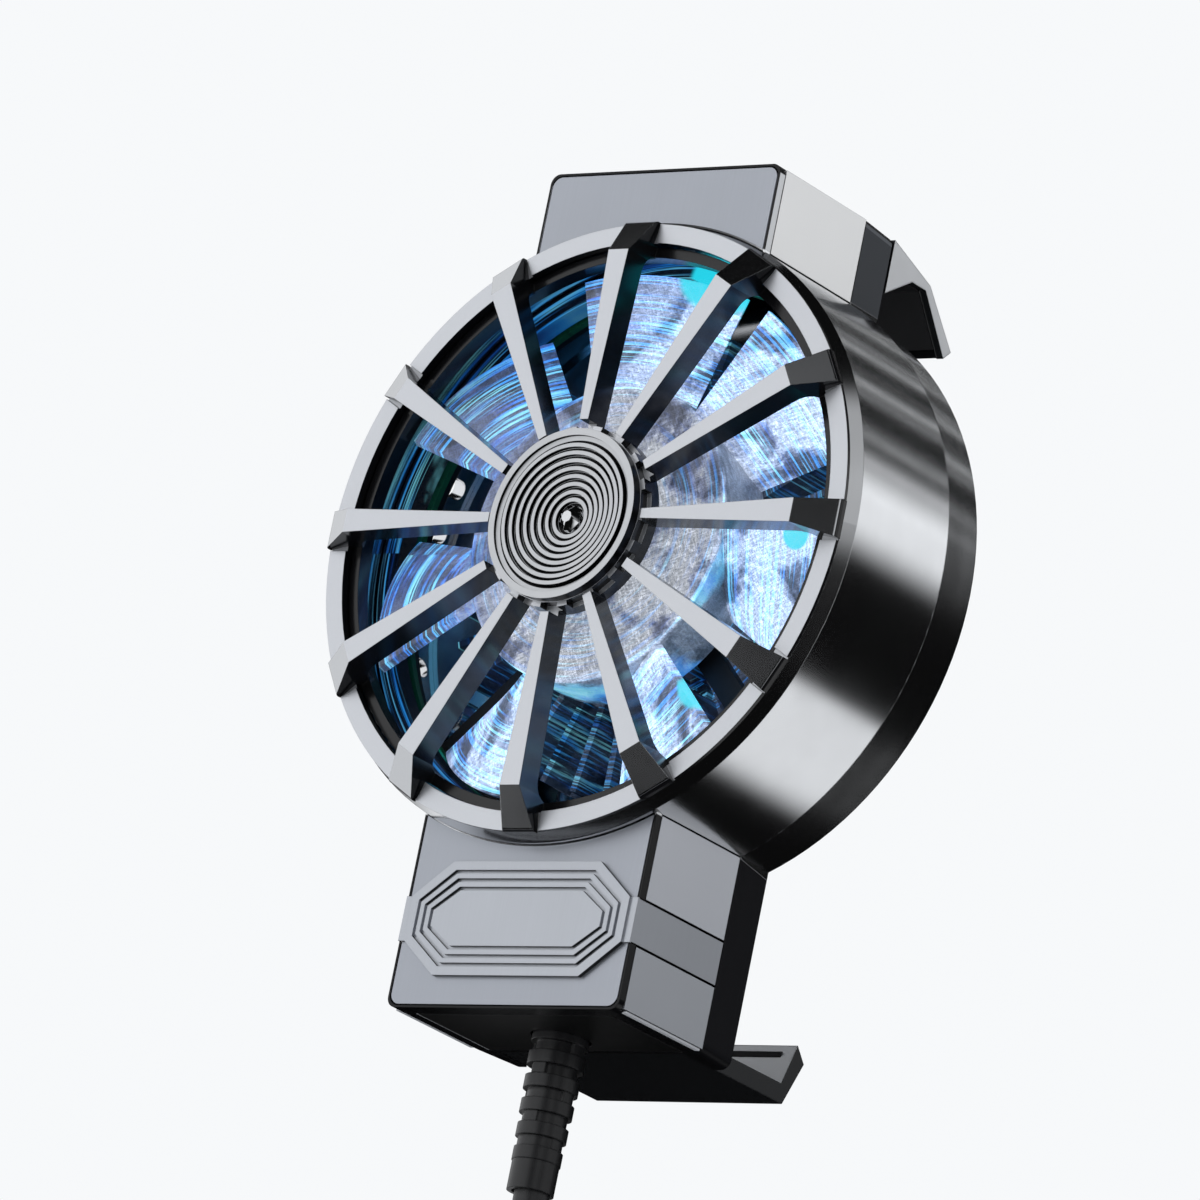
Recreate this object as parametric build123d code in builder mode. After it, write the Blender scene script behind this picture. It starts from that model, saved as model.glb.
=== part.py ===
"""Clip-on phone cooling fan.

Millimetres, +Z up. The fan's grille faces -Y and the phone lies on the +Y side. The origin is
the middle of the contact pad's face, where the phone's back touches.
"""

from build123d import *
from math import atan2, copysign, cos, degrees, pi, radians, sin, tan
import os

# Body
drum_radius = 26.75
wall = 1.3
body_depth = 18.44
rear_band_depth = 4.7
rear_band_step = 0.45
pad_proud = 0.5
back_wall = 1.2
bevel_depth = 1.1
panel = 0.5
fit_gap = 0.1
shut_line = 0.12
overrun = 1.0

# Bezel and grille
rim_step = 0.5
rim_width = 1.65
rim_lip = 0.35
rim_seat = 1.04
rim_flange = 1.2
rim_notch = 0.25
spoke_count = 12
spoke_rise = 2.56
spoke_bar = 2.3
spoke_hub_width = 0.75
spoke_break_width = 2.05
spoke_end_width = 3.2
spoke_break_in = 3.65
spoke_end_drop = 2.2
spoke_overhang = 0.1
spoke_arch = 1.6
ear_round = 0.5
carrier_wall = 0.9
carrier_depth = 1.4
grille_hub_radius = 7.85
dish_radius = 7.35
dish_rise = 0.5
dish_edge = 0.85
dish_depth = 1.7
dish_steps = 9
dish_land = 0.6
dish_groove = 0.28
dish_floor = 0.6
dish_spigot_in = 0.9
stud_radius = 1.15
stud_height = 0.9
stud_table = 0.5
stud_pin = 0.45
notch_depth = 0.45
notch_height = 0.9
notch_count = 18
notch_width = 1.7

# Blocks above and below the drum
block_half_width = 11.95
top_reach = 4.9
lower_reach = 13.85
top_face_setback = 1.44
lower_face_setback = 2.04
block_corner = 0.9
block_wall = 1.2
block_border = 0.2
rear_taper = 0.65
plate_corner = 0.9

# Plaque and its belt on the lower block
belt_width = 3.8
belt_centre_up = 7.5
plaque_half_flat = 7.55
plaque_half_height = 4.85
plaque_side_in = 0.75
belt_proud = 0.2
plaque_proud = 0.4
plaque_steps = 3
plaque_step_in = 0.72
plaque_line = 0.3
plaque_line_depth = 0.3
plaque_first_in = 0.75

# Fan and motor
blade_count = 7
rotor_depth = 5.7
cap_radius = 12.9
cap_front = 0.9
cap_skirt = 0.9
tip_gap = 0.55
blade_thick = 0.7
blade_root_chord = 8.2
blade_tip_chord = 15.5
blade_root_angle = 41.0
blade_tip_angle = 19.5
blade_camber = 0.9
magnet_thick = 1.0
magnet_length = 3.9
air_gap = 0.35
shaft_radius = 0.75
running_gap = 0.02
bush_wall = 0.5
tube_wall = 0.65
stator_height = 2.2
pole_count = 4
pole_arm = 2.0
pole_shoe = 1.2
pole_gap = 1.6
core_hub = 1.7
coil_wall = 0.95
coil_end_gap = 0.3
board_thick = 0.7
board_radius = 9.8
rotor_lift = 0.5
mount_thick = 0.9
mount_hub = 9.9
mount_ring = 1.6
strut_count = 4
strut_width = 2.2
guide_height = 1.8
lamp_count = 8
lamp_size = 1.1
lamp_height = 0.6
lamp_board = 0.6

# Cooling stack
cold_in = 2.2
cold_flange_width = 1.3
cold_flange = 0.3
pad_thick = 0.4
pad_edge = 0.6
module_leg_gap = 0.5
module_thick = 2.6
module_skin = 0.6
pellet = 1.0
pellet_rows = 7
sink_gap = 0.65
sink_base = 1.2
fin_height = 3.5
fin_count = 36
fin_thick = 0.6
fin_length = 10.5
clamp_beside_module = 1.2
clamp_boss = 1.8
clamp_screw = 0.65
clamp_head = 1.25
clamp_head_height = 0.8
stack_gap = 0.1

# Jaws
jaw_travel = 20.0
jaw_rear_gap = 0.3
jaw_neck_gap = 0.6
jaw_neck = 1.7
jaw_leg_width = 1.5
jaw_leg_thick = 1.6
jaw_held = 8.45
jaw_leg_setback = 2.0
jaw_top_drop = 0.15
jaw_slope_drop = 1.9
jaw_slope_reach = 5.6
jaw_lip_reach = 10.0
jaw_lip_drop = 6.2
jaw_lip_thick = 0.85
groove_peak_drop = 2.65
groove_root_drop = 4.85
groove_start = 3.1
groove_end = 5.1
jaw_pad = 1.0
jaw_cheek = 0.7
rail_width = 0.9
rail_low = 17.5
arm_side_gap = 0.5
arm_thick = 1.6
arm_reach = 8.6
arm_inset = 4.2
arm_tab = 5.0
arm_step = 0.2
lip_height = 3.6
lip_lean = 1.25
lip_thick = 1.25
strip_height = 0.5
strip_drop = 0.65
strip_depth = 0.4
spring_radius = 0.95
spring_wire = 0.32
spring_low = -21.0

# Fasteners that join the housings
housing_screw_in = 3.1
housing_screw_angle = 35.0
housing_boss = 1.7
housing_screw = 0.6
housing_head = 1.35
housing_head_height = 0.7
housing_screw_length = 6.0

# Outlet slots, on the side away from the cord's board
outlet_count = 7
outlet_width = 1.7
outlet_height = 3.0
outlet_pitch = 9.0
outlet_middle = 180.0

# Control board
circuit_height = 8.5
circuit_thick = 0.8
circuit_up = 3.2
circuit_from_rear = 8.3
inductor_radius = 2.0
inductor_height = 2.2
chip_side = 3.0
chip_height = 0.9
wire_slot_width = 6.0
wire_slot_depth = 2.5

# Cord
cord_radius = 1.5
cord_from_rear = 8.15
boot_radius = 2.35
boot_end_radius = 1.95
boot_core = 1.85
boot_rings = 5
boot_ring = 1.1
boot_window = 0.9
boot_post = 1.3
boot_flange = 3.6
boot_flange_thick = 1.2
boot_collar = 0.6
boot_sleeve = 1.6
coil_pitch = 3.5
coil_layer = 3.5
coil_outer = 19.3
coil_steps = 38
coil_flat_steps = 8
coil_entry_angle = 63.8
coil_exit_angle = 225.0
tie_width = 5.0
tie_thick = 0.9
tie_gap = 0.4
plug_boot = 5.0
plug_boot_radius = 2.4
plug_body = 15.5
plug_width = 15.0
plug_depth = 7.4
plug_round = 1.6
shell_length = 12.0
shell_width = 12.0
shell_depth = 4.5
shell_wall = 0.35
insert_depth = 1.9

os.makedirs("parts", exist_ok=True)


def facing(y):
    """A plane at depth y whose normal points to the front; its axes are X and Z."""
    return Plane.XZ.offset(-y)


def save(part, name):
    """Labels a finished piece and writes it."""
    part.label = name
    export_step(part, f"parts/{name}.step")


def turned(part, angle):
    """The part turned about the fan's axis."""
    return part.rotate(Axis.Y, angle)


# Depths, from the phone's face forwards
rear_y = -pad_proud
rim_y = rear_y - body_depth
seam_y = rear_y - rear_band_depth
spoke_y = rim_y - spoke_rise
dish_y = spoke_y - dish_rise
top_face_y = rim_y + top_face_setback
lower_face_y = rim_y + lower_face_setback
wall_in_y = rear_y - back_wall
flange_y = wall_in_y - cold_flange
module_front_y = flange_y - module_thick
sink_y = module_front_y - sink_base
fin_y = sink_y - fin_height
mount_rear_y = fin_y - stack_gap
mount_y = mount_rear_y - mount_thick
board_y = mount_y - board_thick
rotor_rear_y = board_y - rotor_lift
rotor_y = rotor_rear_y - rotor_depth
shelf_y = rim_y + rim_seat
flange_in_y = shelf_y + rim_flange
bar_rear_y = spoke_y + spoke_bar

# Radii, from the drum's wall inwards
drum_bore = drum_radius - wall
rim_radius = drum_radius - rim_step
rim_bore = rim_radius - rim_width
lip_root_radius = rim_radius - rim_lip
carrier_radius = rim_bore - fit_gap
carrier_bore = carrier_radius - carrier_wall
tip_radius = carrier_bore - tip_gap
break_radius = rim_radius - spoke_break_in + rim_step
ear_radius = rim_radius + spoke_overhang
rear_radius = drum_radius - rear_band_step

# Heights
block_top = drum_radius + top_reach
block_bottom = -drum_radius - lower_reach
belt_middle = block_bottom + belt_centre_up
rear_half_width = block_half_width - rear_taper
inner_half_width = rear_half_width - block_wall
jaw_half_width = rear_half_width
jaw_neck_half = inner_half_width - jaw_neck_gap
lower_half_width = inner_half_width - arm_side_gap
top_inside = block_top - block_wall
bottom_inside = block_bottom + block_wall
jaw_leg_end = top_inside - jaw_held - jaw_travel


def block_outline(half_width, low, high):
    """A block's section, with all four corners rounded."""
    with Locations((0, (low + high) / 2)):
        RectangleRounded(2 * half_width, high - low, block_corner)


# Places of the four housing screws, round the drum
screw_orbit = drum_bore - housing_screw_in
screw_x = screw_orbit * cos(radians(housing_screw_angle))
screw_z = screw_orbit * sin(radians(housing_screw_angle))
screw_places = [(x * screw_x, z * screw_z) for x in (-1, 1) for z in (-1, 1)]
sink_radius = screw_orbit - housing_boss - sink_gap
cold_radius = sink_radius - cold_in


def beside_block(low, high, depth):
    """The section of a block's two sides between two heights, to a depth."""
    for side in (-1, 1):
        with Locations((side * (block_half_width - depth / 2), (low + high) / 2)):
            Rectangle(depth, high - low)


# Front housing: the cores of both blocks, then the drum with its bevelled front
with BuildPart() as front_housing:
    for low, high, face_y in (
        (0, block_top, top_face_y),
        (block_bottom, 0, lower_face_y),
    ):
        with BuildSketch(facing(seam_y)):
            block_outline(block_half_width, low, high)
            Circle(drum_radius - wall / 2, mode=Mode.SUBTRACT)
        extrude(amount=seam_y - face_y)
    # Hollow of the top block
    with BuildSketch(facing(seam_y)):
        with Locations((0, top_inside / 2)):
            Rectangle(2 * inner_half_width, top_inside)
    extrude(amount=seam_y - top_face_y - panel - block_wall, mode=Mode.SUBTRACT)
    # Hollow of the lower block, open below where the bottom cover sits
    with BuildSketch(facing(seam_y)):
        with Locations((0, block_bottom / 2 - overrun)):
            Rectangle(2 * inner_half_width, -block_bottom + 2 * overrun)
    extrude(amount=seam_y - lower_face_y - panel - block_wall, mode=Mode.SUBTRACT)
    # Face pockets for the silver plates
    for low, high, face_y in (
        (0, block_top - block_border, top_face_y),
        (block_bottom + block_border, 0, lower_face_y),
    ):
        with BuildSketch(facing(face_y + panel)):
            with Locations((0, (low + high) / 2)):
                RectangleRounded(
                    2 * (block_half_width - block_border), high - low, plate_corner
                )
        extrude(amount=panel + overrun, mode=Mode.SUBTRACT)
    # Side pockets for the side panels and the belt
    for low, high, face_y in (
        (0, block_top - block_border, top_face_y),
        (block_bottom + block_border, 0, lower_face_y),
    ):
        with BuildSketch(facing(seam_y + overrun)):
            for side in (-1, 1):
                with Locations((side * (block_half_width - panel / 2 + overrun / 2), (low + high) / 2)):
                    Rectangle(panel + overrun, high - low)
        extrude(
            amount=seam_y + overrun - face_y - panel - block_border, mode=Mode.SUBTRACT
        )
    # Channel for the belt's corner, from the plaque to the sides
    with BuildSketch(facing(lower_face_y + panel + block_border)):
        for side in (-1, 1):
            with Locations((side * (block_half_width - panel / 2), belt_middle)):
                Rectangle(panel + 2 * fit_gap, belt_width)
    extrude(amount=panel + block_border + overrun, mode=Mode.SUBTRACT)
    # The drum
    with BuildSketch(Plane.XY):
        with BuildLine():
            Polyline(
                (lip_root_radius, rim_y + rim_lip + shut_line),
                (rim_radius - shut_line, rim_y + rim_lip + shut_line),
                (drum_radius, rim_y + rim_lip + shut_line + bevel_depth),
                (drum_radius, seam_y),
                (drum_bore, seam_y),
                (drum_bore, flange_in_y),
                (rim_bore, flange_in_y),
                (rim_bore, shelf_y),
                (lip_root_radius, shelf_y),
                close=True,
            )
        make_face()
    revolve(axis=Axis.Y)
    # Slot for the wires between the lower block and the drum
    with BuildSketch(Plane.XY.offset(-drum_radius - overrun)):
        with Locations((0, seam_y - wire_slot_depth)):
            Rectangle(wire_slot_width, wire_slot_depth)
    extrude(amount=wall + 2 * overrun, mode=Mode.SUBTRACT)
    # Bosses for the housing screws
    with BuildSketch(facing(seam_y)):
        for x, z in screw_places:
            with Locations((x, z)):
                Circle(housing_boss)
            with Locations((x + copysign(housing_boss, x), z)):
                Rectangle(2 * housing_boss, housing_boss)
        Circle(drum_bore + wall / 2, mode=Mode.INTERSECT)
    extrude(amount=seam_y - mount_rear_y)
    with BuildSketch(facing(seam_y)):
        with Locations(*screw_places):
            Circle(housing_screw + fit_gap / 2)
    extrude(amount=housing_screw_length - rear_band_depth, mode=Mode.SUBTRACT)
    # Outlet slots on the left side
    for index in range(outlet_count):
        turn = outlet_middle + (index - (outlet_count - 1) / 2) * outlet_pitch
        slot_plane = Plane(
            origin=(drum_bore * cos(radians(turn)), (sink_y + fin_y) / 2, drum_bore * sin(radians(turn))),
            x_dir=(0, 1, 0),
            z_dir=(cos(radians(turn)), 0, sin(radians(turn))),
        )
        with BuildSketch(slot_plane):
            SlotOverall(outlet_height, outlet_width)
        extrude(amount=wall + overrun, both=True, mode=Mode.SUBTRACT)
save(front_housing.part, "front_housing")

# Rear housing: the drum's rear band, the blocks' tapered rear facets and the back wall
window_radius = cold_radius + fit_gap
notch_half = jaw_neck_half + shut_line
notch_low = block_top - jaw_top_drop - jaw_neck - shut_line
leg_centre_y = rear_y - jaw_leg_setback - jaw_leg_thick / 2
leg_x = jaw_neck_half - jaw_leg_width / 2
arm_front_y = rear_y - arm_inset
with BuildPart() as rear_housing:
    with BuildSketch(facing(seam_y)):
        block_outline(block_half_width, block_bottom, block_top)
    with BuildSketch(facing(rear_y)):
        block_outline(rear_half_width, block_bottom, block_top)
    loft(ruled=True)
    with BuildSketch(Plane.XY):
        with BuildLine():
            Polyline(
                (0, seam_y), (drum_radius, seam_y), (rear_radius, rear_y), (0, rear_y), close=True
            )
        make_face()
    revolve(axis=Axis.Y)
    # Hollow of the drum and of both blocks
    with BuildSketch(facing(wall_in_y)):
        Circle(drum_bore - rear_band_step)
        with Locations((0, (top_inside + bottom_inside) / 2)):
            Rectangle(2 * inner_half_width, top_inside - bottom_inside)
    extrude(amount=wall_in_y - seam_y + overrun, mode=Mode.SUBTRACT)
    # Window for the cold plate
    with BuildSketch(facing(rear_y + overrun)):
        Circle(window_radius)
    extrude(amount=back_wall + 2 * overrun, mode=Mode.SUBTRACT)
    # Notch that the upper jaw's neck slides in
    with BuildSketch(facing(rear_y + overrun)):
        with Locations((0, (notch_low + block_top + overrun) / 2)):
            Rectangle(2 * notch_half, block_top + overrun - notch_low)
    extrude(
        amount=overrun + jaw_leg_setback + jaw_leg_thick + shut_line, mode=Mode.SUBTRACT
    )
    # Notch that the lower jaw's arm sits in
    with BuildSketch(facing(rear_y + overrun)):
        with Locations((0, block_bottom + arm_thick / 2 - overrun / 2)):
            Rectangle(
                2 * (lower_half_width + shut_line), arm_thick + overrun + 2 * shut_line
            )
    extrude(amount=overrun + arm_inset + shut_line, mode=Mode.SUBTRACT)
    # Rails beside the jaw's legs
    with BuildSketch(facing(wall_in_y)):
        for side in (-1, 1):
            with Locations(
                (side * (jaw_neck_half + fit_gap + rail_width / 2), (rail_low + top_inside) / 2)
            ):
                Rectangle(rail_width, top_inside - rail_low)
    extrude(amount=jaw_leg_setback + jaw_leg_thick - back_wall)
    # Bosses, pilot holes and head seats for the housing screws
    with BuildSketch(facing(wall_in_y)):
        with Locations(*screw_places):
            Circle(housing_boss)
    extrude(amount=wall_in_y - seam_y)
    with Locations(Plane.XZ.offset(-rear_y).rotated((180, 0, 0))):
        with Locations(*screw_places):
            CounterBoreHole(
                housing_screw + fit_gap / 2, housing_head + fit_gap, housing_head_height
            )
    # Posts that hold the springs' lower ends
    with BuildSketch(facing(wall_in_y)):
        for side in (-1, 1):
            with Locations((side * leg_x, spring_low - spring_radius)):
                Circle(spring_radius)
    extrude(amount=wall_in_y - leg_centre_y + jaw_leg_thick / 2)
save(rear_housing.part, "rear_housing")

# Bezel ring round the fan opening, notched where the spokes cross it
with BuildPart() as bezel_ring:
    with BuildSketch(Plane.XY):
        with BuildLine():
            Polyline(
                (rim_bore, rim_y),
                (rim_radius, rim_y),
                (rim_radius, rim_y + rim_lip),
                (lip_root_radius - fit_gap, rim_y + rim_lip),
                (lip_root_radius - fit_gap, shelf_y),
                (rim_bore, shelf_y),
                close=True,
            )
        make_face()
    revolve(axis=Axis.Y)
    for index in range(spoke_count):
        turn = index * 360 / spoke_count
        notch_plane = facing(rim_y + rim_notch)
        with BuildSketch(notch_plane):
            with Locations(Location((0, 0, 0), (0, 0, turn))):
                with Locations((rim_radius, 0)):
                    Rectangle(4 * rim_width, spoke_end_width + 2 * shut_line)
        extrude(amount=rim_notch + overrun, mode=Mode.SUBTRACT)
save(bezel_ring.part, "bezel_ring")

# One spoke: its side outline, then its tapering plan
with BuildPart() as spoke:
    with BuildSketch(Plane.XY):
        with BuildLine():
            Polyline(
                (grille_hub_radius - overrun, spoke_y),
                (break_radius, spoke_y),
                (ear_radius, spoke_y + spoke_end_drop),
                (ear_radius, rim_y + rim_notch),
                (carrier_radius, rim_y + rim_notch),
                (carrier_radius, flange_in_y),
                (carrier_bore, flange_in_y),
                (carrier_bore, bar_rear_y),
                (grille_hub_radius - overrun, bar_rear_y),
                close=True,
            )
        make_face()
        fillet(vertices().sort_by_distance((carrier_bore, bar_rear_y))[0], spoke_arch)
        fillet(vertices().sort_by_distance((ear_radius, spoke_y + spoke_end_drop))[0], ear_round)
    extrude(amount=spoke_end_width, both=True)
    with BuildSketch(facing(spoke_y - overrun)):
        with BuildLine():
            Polyline(
                (grille_hub_radius - overrun, -spoke_hub_width / 2),
                (break_radius, -spoke_break_width / 2),
                (ear_radius, -spoke_end_width / 2),
                (ear_radius + overrun, -spoke_end_width / 2),
                (ear_radius + overrun, spoke_end_width / 2),
                (ear_radius, spoke_end_width / 2),
                (break_radius, spoke_break_width / 2),
                (grille_hub_radius - overrun, spoke_hub_width / 2),
                close=True,
            )
        make_face()
    extrude(amount=-(flange_in_y - spoke_y + 2 * overrun), mode=Mode.INTERSECT)

# Grille: hub, spokes and the carrier ring behind the bezel, as one moulding
grille_hub_y = dish_y + dish_edge
dish_seat_y = dish_y + dish_depth + dish_floor
with BuildPart() as spoke_grille:
    with BuildSketch(facing(bar_rear_y)):
        Circle(grille_hub_radius)
    extrude(amount=bar_rear_y - grille_hub_y)
    with BuildSketch(facing(flange_in_y)):
        Circle(carrier_radius)
        Circle(carrier_bore, mode=Mode.SUBTRACT)
    extrude(amount=carrier_depth)
    for index in range(spoke_count):
        add(turned(spoke.part, index * 360 / spoke_count))
    # Castellations round the hub, in front of the spokes' roots
    with BuildSketch(facing(grille_hub_y + notch_height)):
        with PolarLocations(grille_hub_radius, notch_count, start_angle=180 / notch_count):
            Rectangle(2 * notch_depth, notch_width)
    extrude(amount=notch_height + overrun, mode=Mode.SUBTRACT)
    # The spokes start at the hub's edge, in front of its face
    with BuildSketch(facing(grille_hub_y)):
        Circle(grille_hub_radius)
    extrude(amount=grille_hub_y - dish_y, mode=Mode.SUBTRACT)
    # Seat for the dish
    with BuildSketch(facing(dish_seat_y)):
        Circle(dish_radius - dish_spigot_in + fit_gap)
    extrude(amount=dish_seat_y - spoke_y + overrun, mode=Mode.SUBTRACT)
save(spoke_grille.part, "spoke_grille")

# Dish on the hub: a shallow cone cut by nine round grooves
step_run = (dish_radius - dish_land - stud_radius) / dish_steps
with BuildPart() as hub_dish:
    with BuildSketch(Plane.XY):
        with BuildLine():
            Polyline(
                (0, dish_y + dish_depth),
                (stud_radius, dish_y + dish_depth),
                (dish_radius - dish_land, dish_y + dish_groove),
                (dish_radius - dish_land, dish_y),
                (dish_radius, dish_y),
                (dish_radius, dish_y + dish_edge),
                (dish_radius - dish_spigot_in, dish_y + dish_edge),
                (dish_radius - dish_spigot_in, dish_seat_y),
                (0, dish_seat_y),
                close=True,
            )
        make_face()
    revolve(axis=Axis.Y)
    # Each ring is a flat land one groove's depth above the cone behind it
    for index in range(dish_steps - 1):
        inner = stud_radius + index * step_run + dish_groove
        outer = stud_radius + (index + 1) * step_run
        share = (outer - stud_radius) / (dish_radius - dish_land - stud_radius)
        cone_y = dish_y + dish_depth - share * (dish_depth - dish_groove)
        with BuildSketch(facing(cone_y + dish_floor)):
            Circle(outer)
            Circle(inner, mode=Mode.SUBTRACT)
        extrude(amount=dish_floor + dish_groove)
    with BuildSketch(facing(dish_seat_y + overrun)):
        Circle(stud_pin + fit_gap / 2)
    extrude(amount=dish_seat_y - dish_y + 2 * overrun, mode=Mode.SUBTRACT)
save(hub_dish.part, "hub_dish")

# Faceted stud in the dish's middle
stud_y = dish_y + dish_depth
with BuildPart() as hub_stud:
    with BuildSketch(facing(stud_y)):
        RegularPolygon(stud_radius, 8)
    with BuildSketch(facing(stud_y - stud_height / 2)):
        RegularPolygon(stud_radius, 8, rotation=180 / 8)
    with BuildSketch(facing(stud_y - stud_height)):
        RegularPolygon(stud_table, 8)
    loft(ruled=True)
    with BuildSketch(facing(stud_y)):
        Circle(stud_pin)
    extrude(amount=-dish_floor)
save(hub_stud.part, "hub_stud")

# Silver plate on the front of the top block
plate_inset = block_border + fit_gap
with BuildPart() as top_face_plate:
    with BuildSketch(facing(top_face_y + panel)):
        with Locations((0, (block_top - plate_inset) / 2)):
            RectangleRounded(
                2 * (block_half_width - plate_inset), block_top - plate_inset, plate_corner
            )
        Circle(drum_radius + fit_gap, mode=Mode.SUBTRACT)
    extrude(amount=panel)
save(top_face_plate.part, "top_face_plate")

# Silver plate on the front of the lower block
with BuildPart() as lower_face_plate:
    with BuildSketch(facing(lower_face_y + panel)):
        with Locations((0, (block_bottom + plate_inset) / 2)):
            RectangleRounded(
                2 * (block_half_width - plate_inset), -block_bottom - plate_inset, plate_corner
            )
        Circle(drum_radius + fit_gap, mode=Mode.SUBTRACT)
        for side in (-1, 1):
            with Locations((side * (block_half_width - panel / 2), belt_middle)):
                Rectangle(panel + 2 * fit_gap, belt_width, mode=Mode.SUBTRACT)
    extrude(amount=panel)
save(lower_face_plate.part, "lower_face_plate")

# Side panels of both blocks
panel_front_in = panel + block_border + 2 * fit_gap
with BuildPart() as top_side_panels:
    with BuildSketch(facing(seam_y - fit_gap)):
        beside_block(0, block_top - plate_inset, panel)
        Circle(drum_radius + fit_gap, mode=Mode.SUBTRACT)
    extrude(amount=seam_y - top_face_y - panel_front_in)
save(top_side_panels.part, "top_side_panels")

belt_high = belt_middle + belt_width / 2
belt_low = belt_middle - belt_width / 2
with BuildPart() as lower_side_panels:
    with BuildSketch(facing(seam_y - fit_gap)):
        beside_block(belt_high + fit_gap, 0, panel)
        beside_block(block_bottom + plate_inset, belt_low - fit_gap, panel)
        Circle(drum_radius + fit_gap, mode=Mode.SUBTRACT)
    extrude(amount=seam_y - lower_face_y - panel_front_in)
save(lower_side_panels.part, "lower_side_panels")


def octagon(inset):
    """Corners of the plaque's outline, drawn in by an amount."""
    wide = block_half_width - plaque_side_in - inset
    flat = plaque_half_flat - inset / 2
    high = plaque_half_height - inset
    ear = belt_width / 2 - inset / 2
    points = [(flat, high), (wide, ear), (wide, -ear), (flat, -high)]
    points += [(-x, z) for x, z in reversed(points)]
    return [(x, belt_middle + z) for x, z in points]


# Plaque and belt: an eight-sided plate with ears that run back along the block's sides
with BuildPart() as plaque_belt:
    with BuildSketch(facing(lower_face_y)):
        Polygon(*octagon(0), align=None)
    extrude(amount=plaque_proud)
    # Ears of the belt, lower than the plaque
    with BuildSketch(facing(lower_face_y)):
        beside_block(belt_low, belt_high, plaque_side_in + plaque_line)
    extrude(amount=belt_proud)
    for index in range(plaque_steps):
        inset = plaque_first_in + index * plaque_step_in
        with BuildSketch(facing(lower_face_y - plaque_proud + plaque_line_depth)):
            Polygon(*octagon(inset), align=None)
            Polygon(*octagon(inset + plaque_line), align=None, mode=Mode.SUBTRACT)
        extrude(amount=plaque_line_depth + overrun, mode=Mode.SUBTRACT)
    with BuildSketch(facing(seam_y - fit_gap)):
        for side in (-1, 1):
            with Locations((side * (block_half_width - panel / 2), belt_middle)):
                Rectangle(panel, belt_width - 2 * fit_gap)
    extrude(amount=seam_y - fit_gap - lower_face_y)
save(plaque_belt.part, "plaque_belt")

# Bottom cover with the hole that the cord's boot passes
cord_y = rear_y - cord_from_rear
cover_front_y = lower_face_y + panel + block_wall + fit_gap
with BuildPart() as bottom_cover:
    with BuildSketch(Plane.XY.offset(block_bottom)):
        with Locations((0, (cover_front_y + seam_y - fit_gap) / 2)):
            Rectangle(2 * (inner_half_width - fit_gap), seam_y - fit_gap - cover_front_y)
        with Locations((0, cord_y)):
            Circle(boot_radius + 2 * fit_gap, mode=Mode.SUBTRACT)
    extrude(amount=block_wall)
save(bottom_cover.part, "bottom_cover")

# Fan rotor: a cup with broad blades


def blade_points(chord, angle):
    """Ends and crown of a blade section's front curve, and the shift to its rear curve."""
    way = Vector(cos(radians(angle)), sin(radians(angle)))
    side = Vector(-way.Y, way.X)
    middle = Vector(0, rotor_middle_y)
    ends = (middle - way * (chord / 2), middle + way * (chord / 2))
    return ends[0], middle - side * blade_camber, ends[1], side * blade_thick


rotor_middle_y = (rotor_y + rotor_rear_y) / 2
with BuildPart() as blade:
    for section_radius, chord, angle in (
        (cap_radius - cap_skirt, blade_root_chord, blade_root_angle),
        (tip_radius + overrun, blade_tip_chord, blade_tip_angle),
    ):
        start, crown, end, shift = blade_points(chord, angle)
        with BuildSketch(Plane.XY.offset(section_radius)):
            with BuildLine():
                ThreePointArc(start, crown, end)
                Line(end, end + shift)
                ThreePointArc(end + shift, crown + shift, start + shift)
                Line(start + shift, start)
            make_face()
    loft(ruled=True)

with BuildPart() as fan_rotor:
    for index in range(blade_count):
        add(turned(blade.part, index * 360 / blade_count))
    with BuildSketch(facing(rotor_rear_y)):
        Circle(tip_radius)
    extrude(amount=rotor_depth, mode=Mode.INTERSECT)
    with BuildSketch(facing(rotor_rear_y)):
        Circle(cap_radius)
    extrude(amount=rotor_depth)
    fillet(fan_rotor.edges().filter_by(GeomType.CIRCLE).group_by(Axis.Y)[0], cap_front / 2)
    with BuildSketch(facing(rotor_rear_y + overrun)):
        Circle(cap_radius - cap_skirt)
    extrude(amount=rotor_depth + overrun - cap_front, mode=Mode.SUBTRACT)
    with BuildSketch(facing(rotor_rear_y)):
        Circle(shaft_radius + bush_wall)
    extrude(amount=rotor_depth - cap_front / 2)
    with BuildSketch(facing(rotor_rear_y + overrun)):
        Circle(cap_radius - cap_skirt)
    extrude(amount=rotor_depth + overrun - 2 * cap_front, mode=Mode.SUBTRACT)
    with BuildSketch(facing(rotor_rear_y)):
        Circle(shaft_radius)
    extrude(amount=rotor_depth - cap_front / 2, mode=Mode.SUBTRACT)
save(fan_rotor.part, "fan_rotor")

cup_floor_y = rotor_y + cap_front
cup_radius = cap_radius - cap_skirt
with BuildPart() as magnet_ring:
    with BuildSketch(facing(rotor_rear_y)):
        Circle(cup_radius)
        Circle(cup_radius - magnet_thick, mode=Mode.SUBTRACT)
    extrude(amount=magnet_length)
save(magnet_ring.part, "magnet_ring")

shaft_y = rotor_y + cap_front / 2
with BuildPart() as rotor_shaft:
    with BuildSketch(facing(mount_y)):
        Circle(shaft_radius)
    extrude(amount=mount_y - shaft_y)
save(rotor_shaft.part, "rotor_shaft")

bush_y = cup_floor_y + cap_front + rotor_lift
bush_bore = shaft_radius + running_gap
bush_radius = bush_bore + bush_wall
with BuildPart() as bearing_bush:
    with BuildSketch(facing(mount_y)):
        Circle(bush_radius)
        Circle(bush_bore, mode=Mode.SUBTRACT)
    extrude(amount=mount_y - bush_y)
save(bearing_bush.part, "bearing_bush")

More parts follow.
